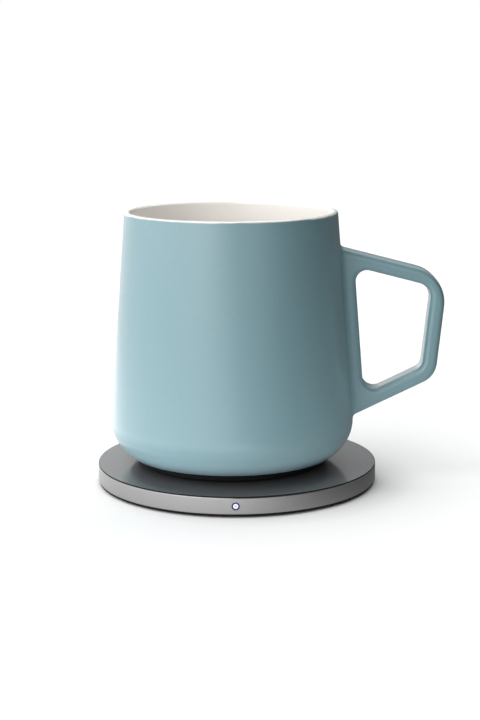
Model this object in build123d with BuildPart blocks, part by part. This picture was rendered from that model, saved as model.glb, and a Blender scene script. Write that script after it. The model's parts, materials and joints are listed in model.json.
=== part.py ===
from build123d import *
import math
import os

# Self heating mug: a ceramic mug with a heater bay in its foot, on a round induction pad.
# Millimetres, +Z up. The origin is the centre of the pad's underside. The pad's light faces
# -Y, its inlet faces +Y, and the mug's handle points along +X.

os.makedirs("parts", exist_ok=True)

# Fits that many pieces share
glue_gap = 0.05  # between pieces that are bonded or pressed together
slip_gap = 0.15  # round a piece that drops into its place
overrun = 1.0  # how far a cut runs past the face that it opens
half_turn_angle = 180.0

# Pad, outside: five layers show at the edge, from the foot up
pad_diameter = 102.0
foot_show = 0.4  # soft foot below the cover
cover_show = 0.85  # black base edge under the ring
ring_height = 5.78
line_height = 0.14  # gasket, seen as a dark line
plate_edge = 0.3  # rim of the top plate

ring_wall = 1.6
ring_edge_round = 0.25
plate_setback = 0.1  # each layer's edge lies this far inside the ring's face
line_setback = 0.45
cover_setback = 0.25
plate_thickness = 1.3
plate_edge_round = 0.12
cover_edge_round = 0.35
cover_floor = 1.0
foot_sunk = 0.4  # part of the foot that lies in the cover's recess
foot_margin = 1.6  # from the cover's edge to the foot's
foot_edge_round = 0.15

ring_radius = pad_diameter / 2
ring_bore = ring_radius - ring_wall
plate_radius = ring_radius - plate_setback
line_radius = ring_radius - line_setback
cover_radius = ring_radius - cover_setback
foot_radius = cover_radius - foot_margin

z_cover = foot_show
z_recess = z_cover + foot_sunk
z_floor = z_recess + cover_floor
z_ring = z_cover + cover_show
z_ring_top = z_ring + ring_height
z_flange = z_ring_top + line_height
z_plate = z_flange + plate_edge
z_plate_under = z_plate - plate_thickness
z_light = (z_ring + z_ring_top) / 2  # the light and the inlet sit at the ring's middle

# Screws: four hold the cover to lugs inside the ring, three hold the board to bosses
cover_screw_count = 4
cover_screw_start_angle = 45.0
cover_screw_radius = 1.0
cover_screw_head_radius = 1.7
cover_screw_length = 3.4  # from the recess up into the lug
countersink_angle = 90.0
lug_radius = 2.8
lug_inset = 2.4  # lug's axis from the ring's bore
lug_height = 3.0
board_screw_count = 3
board_screw_start_angle = 90.0
board_screw_radius = 0.8
board_screw_head_radius = 1.5
board_screw_head_height = 0.9
board_screw_bite = 0.9  # shank below the board
board_screw_inset = 5.0  # screw's axis from the board's edge
boss_radius = 2.2
boss_height = 0.5
screw_gap = 0.02  # between a thread's crest and its hole
socket_share = 0.5  # hexagon's radius over the head's radius
socket_depth = 0.5
socket_sides = 6

lug_circle = ring_bore - lug_inset

# Pad, board and the parts on it
board_thickness = 0.8
board_gap = 1.0  # between the board's edge and the lugs
tab_width = 15.0  # tab that carries the inlet
tab_gap = 1.6  # from the tab's end to the ring's bore

z_board = z_floor + boss_height
z_parts = z_board + board_thickness
board_radius = lug_circle - lug_radius - board_gap
board_screw_circle = board_radius - board_screw_inset
tab_end = ring_bore - tab_gap

# Pad, coil stack in the middle of the board
coil_wire = 1.15
coil_pitch = 1.6
coil_turns = 7
coil_eye = 10.5  # radius at the wire's first centre line
ferrite_radius = 22.8
ferrite_thickness = 0.8
tray_floor = 0.8
tray_wall = 0.8
sensor_radius = 2.2

z_ferrite = z_parts + tray_floor
z_coil = z_ferrite + ferrite_thickness
tray_radius = ferrite_radius + slip_gap + tray_wall
parts_circle = (tray_radius + board_radius) / 2

# Inlet: shell of the common small reversible power socket
inlet_width = 8.94
inlet_height = 3.26
inlet_length = 7.35
inlet_wall = 0.3
inlet_setback = 0.5  # mouth behind the ring's face
inlet_slot_gap = 0.2
leg_reach = 1.0  # legs that stand on the board, outward from the shell
leg_length = 1.3
leg_thickness = 0.3
leg_margin = 0.9  # from a leg to the shell's end
tongue_width = 6.69
tongue_thickness = 0.7
tongue_setback = 0.9
tongue_root = 2.2  # moulded block that fills the shell's back
contact_width = 0.27
contact_pitch = 0.5
contact_count = 12
contact_thickness = 0.06
contact_length = 3.5

inlet_mouth = ring_radius - inlet_setback
inlet_back = inlet_mouth - inlet_length

# Light: lens in a dark bezel, fed by a clear guide from a lamp on the board
bezel_radius = 1.35
lens_radius = 1.02
lens_setback = 0.08
lens_thickness = 0.9
bezel_depth = 3.2
lamp_width = 2.0
lamp_depth = 1.2
lamp_height = 1.9
lamp_inset = 3.2  # lamp's back from the board's front edge
guide_foot = 0.9  # length of the foot that stands the guide on the board

lamp_back = -(board_radius - lamp_inset)
lamp_front = lamp_back - lamp_depth
lens_front = -(ring_radius - lens_setback)
lens_back = lens_front + lens_thickness

# Mug, seen outside
mug_shift = -1.6  # the mug stands a little left of the pad's centre
mug_foot_show = 0.8  # soft foot below the base cover
base_rim_height = 2.03
seal_thickness = 0.6
ceramic_height = 88.36
rim_radius = 38.33
heel_height = 13.3  # where the straight wall turns into the heel
heel_radius = 44.21
heel_round = 14.2
sole_round = 0.8
lip_wall = 2.3
lip_round = 1.05
wall_thickness = 3.3  # low on the wall, where it is thickest
inner_heel_round = 11.0

# Mug, heater bay under the ceramic floor
bay_radius = 33.0
bay_depth = 4.3
mug_floor = 3.8
spreader_thickness = 0.5
film_thickness = 0.25
film_margin = 1.6
base_floor = 0.8
base_margin = 2.0  # base cover's rim beyond the bay
spigot_wall = 1.35
spigot_height = 2.9
base_edge_round = 0.6
mug_foot_sunk = 0.4
mug_foot_width = 4.0
mug_foot_inset = 4.0  # from the base cover's edge to the foot's
mug_foot_round = 0.3

z_base = z_plate + mug_foot_show
z_base_rim = z_base + base_rim_height
z_sole = z_base_rim + seal_thickness
z_lip = z_sole + ceramic_height
z_heel = z_sole + heel_height
z_bay = z_sole + bay_depth
z_inside = z_bay + mug_floor
z_base_floor = z_base + base_floor
z_spreader = z_bay - spreader_thickness
z_film = z_spreader - film_thickness
base_radius = bay_radius + base_margin
spigot_radius = bay_radius - slip_gap
spigot_bore = spigot_radius - spigot_wall
mug_foot_radius = base_radius - mug_foot_inset
mug_foot_bore = mug_foot_radius - mug_foot_width

# Mug, receiver in the bay
pickup_wire = 0.9
pickup_pitch = 1.35
pickup_turns = 8
pickup_eye = 9.5
pickup_ferrite_radius = 22.0
pickup_ferrite_thickness = 0.6
receiver_board_thickness = 0.8
receiver_board_bore = 11.0
receiver_board_gap = 1.0  # board's edge to the spigot's bore
stake_radius = 0.9
stake_show = 0.5  # staked head above the board
pillar_radius = 1.8
pillar_height = 2.6
pillar_count = 3
pillar_start_angle = 30.0
pillar_inset = 3.2

z_pickup_ferrite = z_base_floor + pickup_wire + 2 * glue_gap
z_receiver_board = z_base_floor + pillar_height
z_receiver_parts = z_receiver_board + receiver_board_thickness
receiver_board_radius = spigot_bore - receiver_board_gap
pillar_circle = receiver_board_radius - pillar_inset
receiver_parts_circle = (receiver_board_bore + receiver_board_radius) / 2

# Handle: a loop with straight bars, measured from the rim, the sole and the mug's axis
handle_width = 10.0
handle_bar = 5.4
handle_strip = 4.4  # bar along the mug's wall
handle_round = 2.1
handle_blend = 2.0
handle_embed = 3.3  # how deep the loop starts inside the wall, before the cup is hollowed
handle_top_drop = 13.22  # where the bar's upper line meets the wall
handle_reach = 77.96
handle_lean = 3.96  # the outer bar leans in this far on its way down
handle_shoulder_drop = 23.18
handle_elbow_rise = 28.0
handle_root_rise = 13.67
shoulder_round = 13.5
elbow_round = 8.4
window_top_round = 4.0
window_shoulder_round = 5.5
window_elbow_round = 4.5
window_low_round = 4.5
window_round_share = 0.4  # the most of a side's length that a corner's round takes

z_handle_top = z_lip - handle_top_drop
z_shoulder = z_lip - handle_shoulder_drop
z_elbow = z_sole + handle_elbow_rise
z_handle_root = z_sole + handle_root_rise

wall_slope = (heel_radius - rim_radius) / (z_lip - z_heel)
wall_lean = math.atan(wall_slope)


def wall_radius(z):
    """Radius of the mug's straight outer wall at a height."""
    return rim_radius + (z_lip - z) * wall_slope


def below(z):
    """Plane at a height that faces down, for what is screwed in from underneath."""
    return Plane(origin=(0, 0, z), x_dir=(1, 0, 0), z_dir=(0, 0, -1))


def along_y(y, z):
    """Plane across the pad's front-to-back axis, for what points that way."""
    return Plane(origin=(0, y, z), x_dir=(1, 0, 0), z_dir=(0, 1, 0))


def mug_level(z):
    """Level plane centred on the mug's axis."""
    return Plane(origin=(mug_shift, 0, z))


def inset_line(start, end, distance):
    """The line from start to end, moved to its right by a distance."""
    length = math.hypot(end[0] - start[0], end[1] - start[1])
    right = ((end[1] - start[1]) / length, -(end[0] - start[0]) / length)
    return [(x + right[0] * distance, z + right[1] * distance) for x, z in (start, end)]


def beyond(start, end, distance):
    """Point past the end of the line from start to end."""
    length = math.hypot(end[0] - start[0], end[1] - start[1])
    share = distance / length
    return (end[0] + (end[0] - start[0]) * share, end[1] + (end[1] - start[1]) * share)


def crossing(first, second):
    """Point where two lines meet, each given by two points."""
    (x1, z1), (x2, z2) = first
    (x3, z3), (x4, z4) = second
    turn = (x2 - x1) * (z4 - z3) - (z2 - z1) * (x4 - x3)
    along = ((x3 - x1) * (z4 - z3) - (z3 - z1) * (x4 - x3)) / turn
    return (x1 + along * (x2 - x1), z1 + along * (z2 - z1))


def spiral(eye, pitch, turns):
    """Draw a flat spiral of half turns, whose two centres lie a quarter pitch off the axis."""
    for half in range(2 * turns):
        side = 1 if half % 2 == 0 else -1
        start_angle = 0 if side == 1 else half_turn_angle
        CenterArc((-side * pitch / 4, 0), eye + half * pitch / 2, start_angle, half_turn_angle)


def print_gap(name, path, turns, wire):
    """Print the least gap between one turn of a flat coil and the next."""
    steps = 48  # in each turn
    points = [path @ (step / (steps * turns)) for step in range(steps * turns + 1)]
    apart = steps // 3
    least = min(
        (a - b).length for i, a in enumerate(points) for b in points[i + apart :]
    )
    print(f"{name}: least gap between turns {least - wire:.2f} mm")


mug_section = Plane(origin=(mug_shift, 0, 0), x_dir=(1, 0, 0), z_dir=(0, -1, 0))
mug_back_section = Plane(origin=(mug_shift, 0, 0), x_dir=(-1, 0, 0), z_dir=(0, 1, 0))
mug_axis = Axis((mug_shift, 0, 0), (0, 0, 1))


# Foot pad: a soft disc in a recess of the cover, over the screws
with BuildPart() as foot_pad:
    with BuildSketch(Plane.XY):
        Circle(foot_radius)
    extrude(amount=foot_show + foot_sunk)
    fillet(foot_pad.edges().group_by(Axis.Z)[0], foot_edge_round)
foot_pad.part.label = "foot_pad"
export_step(foot_pad.part, "parts/foot_pad.step")


# Bottom cover: black floor of the pad, with a spigot inside the ring and bosses for the board
with BuildPart() as bottom_cover:
    with BuildSketch(Plane.XY.offset(z_cover)):
        Circle(cover_radius)
    extrude(amount=cover_show)
    fillet(bottom_cover.edges().group_by(Axis.Z)[0], cover_edge_round)
    with BuildSketch(Plane.XY.offset(z_ring)):
        Circle(ring_bore - slip_gap)
    extrude(amount=z_floor - z_ring)
    with BuildSketch(Plane.XY.offset(z_cover)):
        Circle(foot_radius + slip_gap)
    extrude(amount=foot_sunk, mode=Mode.SUBTRACT)
    with BuildSketch(Plane.XY.offset(z_floor)):
        with PolarLocations(board_screw_circle, board_screw_count, board_screw_start_angle):
            Circle(boss_radius)
    extrude(amount=boss_height)
    with Locations(Plane.XY.offset(z_board)):
        with PolarLocations(board_screw_circle, board_screw_count, board_screw_start_angle):
            Hole(board_screw_radius + screw_gap, depth=board_screw_bite + slip_gap)
    with Locations(below(z_recess)):
        with PolarLocations(lug_circle, cover_screw_count, cover_screw_start_angle):
            CounterSinkHole(
                cover_screw_radius + screw_gap,
                cover_screw_head_radius + glue_gap,
                counter_sink_angle=countersink_angle,
            )
bottom_cover.part.label = "bottom_cover"
export_step(bottom_cover.part, "parts/bottom_cover.step")


# Housing ring: the pad's metal side, with lugs for the cover's screws, a slot for the inlet
# at the back and a hole for the light at the front
with BuildPart() as housing_ring:
    with BuildSketch(Plane.XY.offset(z_ring)):
        Circle(ring_radius)
        Circle(ring_bore, mode=Mode.SUBTRACT)
    extrude(amount=ring_height)
    rims = housing_ring.edges().filter_by(GeomType.CIRCLE)
    fillet(rims.filter_by(lambda edge: edge.radius > ring_bore + glue_gap), ring_edge_round)
    with BuildSketch(below(z_floor + lug_height)):
        with PolarLocations(lug_circle, cover_screw_count, cover_screw_start_angle):
            Circle(lug_radius)
    extrude(amount=lug_height)
    with Locations(below(z_floor)):
        with PolarLocations(lug_circle, cover_screw_count, cover_screw_start_angle):
            Hole(cover_screw_radius + screw_gap, depth=cover_screw_length - cover_floor + slip_gap)
    with BuildSketch(along_y(ring_bore - overrun, z_light)):
        SlotOverall(inlet_width + 2 * inlet_slot_gap, inlet_height + 2 * inlet_slot_gap)
    extrude(amount=ring_wall + 2 * overrun, mode=Mode.SUBTRACT)
    with BuildSketch(along_y(-ring_radius - overrun, z_light)):
        Circle(bezel_radius + glue_gap)
    extrude(amount=ring_wall + 2 * overrun, mode=Mode.SUBTRACT)
housing_ring.part.label = "housing_ring"
export_step(housing_ring.part, "parts/housing_ring.step")


# Top gasket: thin ring between the housing and the plate, set back so that it reads as a line
with BuildPart() as top_gasket:
    with BuildSketch(Plane.XY.offset(z_ring_top)):
        Circle(line_radius)
        Circle(ring_bore, mode=Mode.SUBTRACT)
    extrude(amount=line_height)
top_gasket.part.label = "top_gasket"
export_step(top_gasket.part, "parts/top_gasket.step")


# Top plate: glossy lid with a thin rim over the ring and a thicker middle inside it
with BuildPart() as top_plate:
    with BuildSketch(Plane.XY.offset(z_plate_under)):
        Circle(ring_bore - slip_gap)
    extrude(amount=plate_thickness - plate_edge)
    with BuildSketch(Plane.XY.offset(z_flange)):
        Circle(plate_radius)
    extrude(amount=plate_edge)
    fillet(top_plate.edges().group_by(Axis.Z)[-1], plate_edge_round)
top_plate.part.label = "top_plate"
export_step(top_plate.part, "parts/top_plate.step")


# Pad board: round, with a notched tab that holds the inlet at half its height
with BuildPart() as pad_board:
    with BuildSketch(Plane.XY.offset(z_board)):
        Circle(board_radius)
        with Locations((0, tab_end / 2)):
            Rectangle(tab_width, tab_end)
        notch_length = tab_end - inlet_back + slip_gap + overrun
        with Locations((0, inlet_back - slip_gap + notch_length / 2)):
            Rectangle(inlet_width + 2 * slip_gap, notch_length, mode=Mode.SUBTRACT)
        with PolarLocations(board_screw_circle, board_screw_count, board_screw_start_angle):
            Circle(board_screw_radius + slip_gap, mode=Mode.SUBTRACT)
    extrude(amount=board_thickness)
pad_board.part.label = "pad_board"
export_step(pad_board.part, "parts/pad_board.step")


# Coil tray: moulded saucer on the board that holds the ferrite and the coil
with BuildPart() as coil_tray:
    with BuildSketch(Plane.XY.offset(z_parts)):
        Circle(tray_radius)
    extrude(amount=tray_floor + ferrite_thickness)
    with BuildSketch(Plane.XY.offset(z_ferrite)):
        Circle(ferrite_radius + slip_gap)
    extrude(amount=ferrite_thickness, mode=Mode.SUBTRACT)
coil_tray.part.label = "coil_tray"
export_step(coil_tray.part, "parts/coil_tray.step")


# Ferrite sheet: shields the board from the coil's field
with BuildPart() as ferrite_sheet:
    with BuildSketch(Plane.XY.offset(z_ferrite)):
        Circle(ferrite_radius)
    extrude(amount=ferrite_thickness)
ferrite_sheet.part.label = "ferrite_sheet"
export_step(ferrite_sheet.part, "parts/ferrite_sheet.step")


# Transmitter coil: one layer of wire, wound flat on the ferrite
with BuildPart() as transmitter_coil:
    with BuildLine(Plane.XY.offset(z_coil + glue_gap + coil_wire / 2)) as coil_path:
        spiral(coil_eye, coil_pitch, coil_turns)
    with BuildSketch(Plane(origin=coil_path.line @ 0, z_dir=coil_path.line % 0)):
        Circle(coil_wire / 2)
    sweep(path=coil_path.line)
transmitter_coil.part.label = "transmitter_coil"
export_step(transmitter_coil.part, "parts/transmitter_coil.step")
print_gap("transmitter_coil", coil_path.line, coil_turns, coil_wire)


# Pad temperature sensor: a bead in the coil's eye, pressed against the plate
with BuildPart() as pad_temperature_sensor:
    with BuildSketch(Plane.XY.offset(z_coil)):
        Circle(sensor_radius)
    extrude(amount=z_plate_under - z_coil)
pad_temperature_sensor.part.label = "pad_temperature_sensor"
export_step(pad_temperature_sensor.part, "parts/pad_temperature_sensor.step")


# Parts soldered to the pad's board, each group at its own angle round the coil
controller_angle = 130.0
controller_side = 5.0
controller_height = 0.9
transistor_angle = 10.0
transistor_side = 3.3
transistor_height = 1.0
transistor_pitch = 4.6
capacitor_angle = 170.0
capacitor_length = 3.2
capacitor_width = 2.5
capacitor_height = 1.9
capacitor_pitch = 4.0
capacitor_rows = 3
inductor_angle = 50.0
inductor_side = 7.0
inductor_height = 2.4
inductor_corner = 1.2
passive_start_angle = 240.0
passive_spread_angle = 60.0
passive_length = 1.6
passive_width = 0.8
passive_height = 0.45
passive_pitch = 2.4
passive_rows = 3

with BuildPart() as controller_chip:
    with BuildSketch(Plane.XY.offset(z_parts)):
        with PolarLocations(parts_circle, 1, controller_angle):
            Rectangle(controller_side, controller_side)
    extrude(amount=controller_height)
controller_chip.part.label = "controller_chip"
export_step(controller_chip.part, "parts/controller_chip.step")

with BuildPart() as power_transistors:
    with BuildSketch(Plane.XY.offset(z_parts)):
        with PolarLocations(parts_circle, 1, transistor_angle):
            with GridLocations(transistor_pitch, transistor_pitch, 2, 2):
                Rectangle(transistor_side, transistor_side)
    extrude(amount=transistor_height)
power_transistors.part.label = "power_transistors"
export_step(power_transistors.part, "parts/power_transistors.step")

with BuildPart() as resonance_capacitors:
    with BuildSketch(Plane.XY.offset(z_parts)):
        with PolarLocations(parts_circle, 1, capacitor_angle):
            with GridLocations(capacitor_pitch, capacitor_pitch, 2, capacitor_rows):
                Rectangle(capacitor_length, capacitor_width)
    extrude(amount=capacitor_height)
resonance_capacitors.part.label = "resonance_capacitors"
export_step(resonance_capacitors.part, "parts/resonance_capacitors.step")

with BuildPart() as power_inductor:
    with BuildSketch(Plane.XY.offset(z_parts)):
        with PolarLocations(parts_circle, 1, inductor_angle):
            RectangleRounded(inductor_side, inductor_side, inductor_corner)
    extrude(amount=inductor_height)
power_inductor.part.label = "power_inductor"
export_step(power_inductor.part, "parts/power_inductor.step")

with BuildPart() as signal_passives:
    with BuildSketch(Plane.XY.offset(z_parts)):
        with PolarLocations(parts_circle, 2, passive_start_angle, 2 * passive_spread_angle):
            with GridLocations(passive_pitch, passive_pitch, passive_rows, passive_rows):
                Rectangle(passive_length, passive_width)
    extrude(amount=passive_height)
signal_passives.part.label = "signal_passives"
export_step(signal_passives.part, "parts/signal_passives.step")


# Inlet shell: a flattened tube, open at the ring's face, with four legs on the board
with BuildPart() as inlet_shell:
    with BuildSketch(along_y(inlet_back, z_light)):
        SlotOverall(inlet_width, inlet_height)
        SlotOverall(inlet_width - 2 * inlet_wall, inlet_height - 2 * inlet_wall, mode=Mode.SUBTRACT)
    extrude(amount=inlet_length)
    leg_x = inlet_width / 2 + (leg_reach - inlet_wall) / 2
    front_leg = tab_end - leg_margin - leg_length / 2
    back_leg = inlet_back + leg_margin + leg_length / 2
    with BuildSketch(Plane.XY.offset(z_parts)):
        with Locations(*[(side * leg_x, y) for side in (-1, 1) for y in (front_leg, back_leg)]):
            Rectangle(leg_reach + inlet_wall, leg_length)
    extrude(amount=leg_thickness)
    with BuildSketch(along_y(inlet_back, z_light)):
        SlotOverall(inlet_width - 2 * inlet_wall, inlet_height - 2 * inlet_wall)
    extrude(amount=inlet_length, mode=Mode.SUBTRACT)
inlet_shell.part.label = "inlet_shell"
export_step(inlet_shell.part, "parts/inlet_shell.step")


# Inlet tongue: moulded block in the shell's back, with the blade that carries the contacts
with BuildPart() as inlet_tongue:
    block_gap = 2 * (inlet_wall + glue_gap)
    with BuildSketch(along_y(inlet_back, z_light)):
        SlotOverall(inlet_width - block_gap, inlet_height - block_gap)
    extrude(amount=tongue_root)
    with BuildSketch(along_y(inlet_back, z_light)):
        Rectangle(tongue_width, tongue_thickness)
    extrude(amount=inlet_length - tongue_setback)
inlet_tongue.part.label = "inlet_tongue"
export_step(inlet_tongue.part, "parts/inlet_tongue.step")


# Inlet contacts: a row of plated strips on each face of the tongue
with BuildPart() as inlet_contacts:
    contact_offset = tongue_thickness + contact_thickness
    with BuildSketch(along_y(inlet_back + tongue_root, z_light)):
        with GridLocations(contact_pitch, contact_offset, contact_count, 2):
            Rectangle(contact_width, contact_thickness)
    extrude(amount=contact_length)
inlet_contacts.part.label = "inlet_contacts"
export_step(inlet_contacts.part, "parts/inlet_contacts.step")


# Light bezel: dark sleeve through the ring, which also holds the guide's front end
with BuildPart() as led_bezel:
    with BuildSketch(along_y(-ring_radius, z_light)):
        Circle(bezel_radius)
        Circle(lens_radius + glue_gap, mode=Mode.SUBTRACT)
    extrude(amount=bezel_depth)
led_bezel.part.label = "led_bezel"
export_step(led_bezel.part, "parts/led_bezel.step")


# Light lens: clear button just behind the bezel's face
with BuildPart() as led_lens:
    with BuildSketch(along_y(lens_front, z_light)):
        Circle(lens_radius)
    extrude(amount=lens_thickness)
    fillet(led_lens.edges().group_by(Axis.Y)[0], lens_setback)
led_lens.part.label = "led_lens"
export_step(led_lens.part, "parts/led_lens.step")


# Light guide: clear rod from the lens to the lamp, with a foot on the board
with BuildPart() as light_guide:
    with BuildSketch(along_y(lens_back + glue_gap, z_light)):
        Circle(lens_radius)
    extrude(amount=lamp_front - lens_back - 2 * glue_gap)
    guide_foot_y = lamp_front - glue_gap - guide_foot / 2
    with BuildSketch(Plane.XY.offset(z_parts)):
        with Locations((0, guide_foot_y)):
            Rectangle(lens_radius, guide_foot)
    extrude(amount=z_light - z_parts)
light_guide.part.label = "light_guide"
export_step(light_guide.part, "parts/light_guide.step")


# Status lamp: shines forward into the guide
with BuildPart() as status_led:
    with BuildSketch(Plane.XY.offset(z_parts)):
        with Locations((0, (lamp_front + lamp_back) / 2)):
            Rectangle(lamp_width, lamp_depth)
    extrude(amount=lamp_height)
status_led.part.label = "status_led"
export_step(status_led.part, "parts/status_led.step")


# Board screws: pan heads on the board, shanks down into the cover's bosses
with BuildPart() as board_screws:
    screw_places = PolarLocations(board_screw_circle, board_screw_count, board_screw_start_angle)
    with BuildSketch(Plane.XY.offset(z_board - board_screw_bite)):
        with screw_places:
            Circle(board_screw_radius)
    extrude(amount=board_screw_bite + board_thickness)
    with BuildSketch(Plane.XY.offset(z_parts)):
        with screw_places:
            Circle(board_screw_head_radius)
    extrude(amount=board_screw_head_height)
    with BuildSketch(Plane.XY.offset(z_parts + board_screw_head_height)):
        with screw_places:
            RegularPolygon(board_screw_head_radius * socket_share, side_count=socket_sides)
    extrude(amount=-socket_depth, mode=Mode.SUBTRACT)
board_screws.part.label = "board_screws"
export_step(board_screws.part, "parts/board_screws.step")


# Cover screws: countersunk, driven up from the foot's recess into the ring's lugs
with BuildPart() as cover_screws:
    screw_places = PolarLocations(lug_circle, cover_screw_count, cover_screw_start_angle)
    head_height = (cover_screw_head_radius - cover_screw_radius) / math.tan(
        math.radians(countersink_angle / 2)
    )
    with BuildSketch(below(z_recess + head_height)):
        with screw_places:
            Circle(cover_screw_radius)
    extrude(amount=head_height, taper=-countersink_angle / 2)
    with BuildSketch(below(z_recess + cover_screw_length)):
        with screw_places:
            Circle(cover_screw_radius)
    extrude(amount=cover_screw_length - head_height)
    with BuildSketch(below(z_recess)):
        with screw_places:
            RegularPolygon(cover_screw_head_radius * socket_share, side_count=socket_sides)
    extrude(amount=-socket_depth, mode=Mode.SUBTRACT)
cover_screws.part.label = "cover_screws"
export_step(cover_screws.part, "parts/cover_screws.step")


# Mug body: cup and handle are one fired piece. The wall leans in to the rim, and a wide heel
# curves under to a flat sole with the heater bay cut into it.
heel_centre_z = z_heel - heel_round * math.sin(wall_lean)
heel_sweep = math.degrees(wall_lean + math.asin((heel_centre_z - z_sole) / heel_round))
inner_wall_z = z_inside + inner_heel_round

wall_foot = (wall_radius(z_handle_root), z_handle_root)
wall_head = (wall_radius(z_handle_top), z_handle_top)
shoulder = (handle_reach, z_shoulder)
elbow = (handle_reach - handle_lean, z_elbow)
handle_top = beyond(shoulder, wall_head, handle_embed)
handle_root = beyond(elbow, wall_foot, handle_embed)
window_wall = inset_line(wall_foot, wall_head, handle_strip)
window_top = inset_line(handle_top, shoulder, handle_bar)
window_outer = inset_line(shoulder, elbow, handle_bar)
window_low = inset_line(elbow, handle_root, handle_bar)
window_corners = [
    crossing(window_wall, window_top),
    crossing(window_top, window_outer),
    crossing(window_outer, window_low),
    crossing(window_low, window_wall),
]
widest_top_round = math.dist(window_corners[0], window_corners[1]) * window_round_share
widest_low_round = math.dist(window_corners[2], window_corners[3]) * window_round_share
window_rounds = [
    min(window_top_round, widest_top_round),
    min(window_shoulder_round, widest_top_round),
    min(window_elbow_round, widest_low_round),
    min(window_low_round, widest_low_round),
]

with BuildPart() as mug_body:
    with BuildSketch(mug_section):
        with BuildLine():
            FilletPolyline(
                handle_top, shoulder, elbow, handle_root, radius=[shoulder_round, elbow_round]
            )
            Line(handle_root, handle_top)
        make_face()
        with BuildLine():
            FilletPolyline(*window_corners, radius=window_rounds, close=True)
        make_face(mode=Mode.SUBTRACT)
    extrude(amount=handle_width / 2, both=True)
    fillet(mug_body.edges().filter_by(Plane.XZ), handle_round)

    with BuildSketch(mug_back_section):
        with BuildLine():
            wall = Line((rim_radius, z_lip), (heel_radius, z_heel))
            heel = JernArc(wall @ 1, wall % 1, heel_round, -heel_sweep)
            Polyline(heel @ 1, (0, (heel @ 1).Y), (0, z_lip), wall @ 0)
        make_face()
    revolve(axis=mug_axis)
    fillet(mug_body.edges().group_by(Axis.Z)[0], sole_round)
    outer_wall = mug_body.faces().filter_by(GeomType.CONE).sort_by(SortBy.AREA)[-1]
    fillet(outer_wall.inner_wires()[0].edges(), handle_blend)

    with BuildSketch(mug_section):
        lip_bore = rim_radius - lip_wall
        inner_foot = wall_radius(inner_wall_z) - wall_thickness
        inner_slope = (inner_foot - lip_bore) / (z_lip - inner_wall_z)
        floor_corner = inner_foot + inner_slope * inner_heel_round
        with BuildLine():
            FilletPolyline(
                (0, z_inside),
                (floor_corner, z_inside),
                (lip_bore, z_lip),
                radius=[inner_heel_round],
            )
            Polyline((lip_bore, z_lip), (0, z_lip), (0, z_inside))
        make_face()
    revolve(axis=mug_axis, mode=Mode.SUBTRACT)
    fillet(mug_body.edges().group_by(Axis.Z)[-1], lip_round)
    with BuildSketch(mug_level(z_sole)):
        Circle(bay_radius)
    extrude(amount=bay_depth, mode=Mode.SUBTRACT)
mug_body.part.label = "mug_body"
export_step(mug_body.part, "parts/mug_body.step")


# Heat spreader: metal disc bonded to the underside of the ceramic floor
with BuildPart() as heat_spreader:
    with BuildSketch(mug_level(z_spreader)):
        Circle(bay_radius - slip_gap)
    extrude(amount=spreader_thickness)
heat_spreader.part.label = "heat_spreader"
export_step(heat_spreader.part, "parts/heat_spreader.step")


# Heating film: etched foil heater under the spreader
with BuildPart() as heating_film:
    with BuildSketch(mug_level(z_film)):
        Circle(bay_radius - film_margin)
    extrude(amount=film_thickness)
heating_film.part.label = "heating_film"
export_step(heating_film.part, "parts/heating_film.step")


# Sensor and fuse, bonded to the film over the board's open middle
sensor_place = 5.0  # each one's centre from the mug's axis
thermistor_length = 3.2
thermistor_width = 2.5
thermistor_height = 1.1
fuse_length = 6.0
fuse_width = 3.0
fuse_height = 1.6

with BuildPart() as mug_temperature_sensor:
    with BuildSketch(mug_level(z_film)):
        with Locations((sensor_place, 0)):
            Rectangle(thermistor_length, thermistor_width)
    extrude(amount=-thermistor_height)
mug_temperature_sensor.part.label = "mug_temperature_sensor"
export_step(mug_temperature_sensor.part, "parts/mug_temperature_sensor.step")

with BuildPart() as thermal_fuse:
    with BuildSketch(mug_level(z_film)):
        with Locations((-sensor_place, 0)):
            Rectangle(fuse_width, fuse_length)
    extrude(amount=-fuse_height)
thermal_fuse.part.label = "thermal_fuse"
export_step(thermal_fuse.part, "parts/thermal_fuse.step")


# Base cover: shallow dish that closes the bay, with a groove for the foot and staked pillars
with BuildPart() as mug_base_cover:
    with BuildSketch(mug_section):
        with BuildLine():
            Polyline(
                (0, z_base),
                (base_radius, z_base),
                (base_radius, z_base_rim),
                (spigot_radius, z_base_rim),
                (spigot_radius, z_base_rim + spigot_height),
                (spigot_bore, z_base_rim + spigot_height),
                (spigot_bore, z_base_floor),
                (0, z_base_floor),
                close=True,
            )
        make_face()
    revolve(axis=mug_axis)
    fillet(mug_base_cover.edges().group_by(Axis.Z)[0], base_edge_round)
    with BuildSketch(mug_level(z_base)):
        Circle(mug_foot_radius + glue_gap)
        Circle(mug_foot_bore - glue_gap, mode=Mode.SUBTRACT)
    extrude(amount=mug_foot_sunk, mode=Mode.SUBTRACT)
    with BuildSketch(mug_level(z_base_floor)):
        with PolarLocations(pillar_circle, pillar_count, pillar_start_angle):
            Circle(pillar_radius)
    extrude(amount=pillar_height)
    with BuildSketch(mug_level(z_receiver_board)):
        with PolarLocations(pillar_circle, pillar_count, pillar_start_angle):
            Circle(stake_radius)
    extrude(amount=receiver_board_thickness + stake_show)
mug_base_cover.part.label = "mug_base_cover"
export_step(mug_base_cover.part, "parts/mug_base_cover.step")


# Base seal: flat ring between the base cover's rim and the sole
with BuildPart() as base_seal:
    with BuildSketch(mug_level(z_base_rim)):
        Circle(base_radius - slip_gap)
        Circle(bay_radius, mode=Mode.SUBTRACT)
    extrude(amount=seal_thickness)
base_seal.part.label = "base_seal"
export_step(base_seal.part, "parts/base_seal.step")


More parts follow.
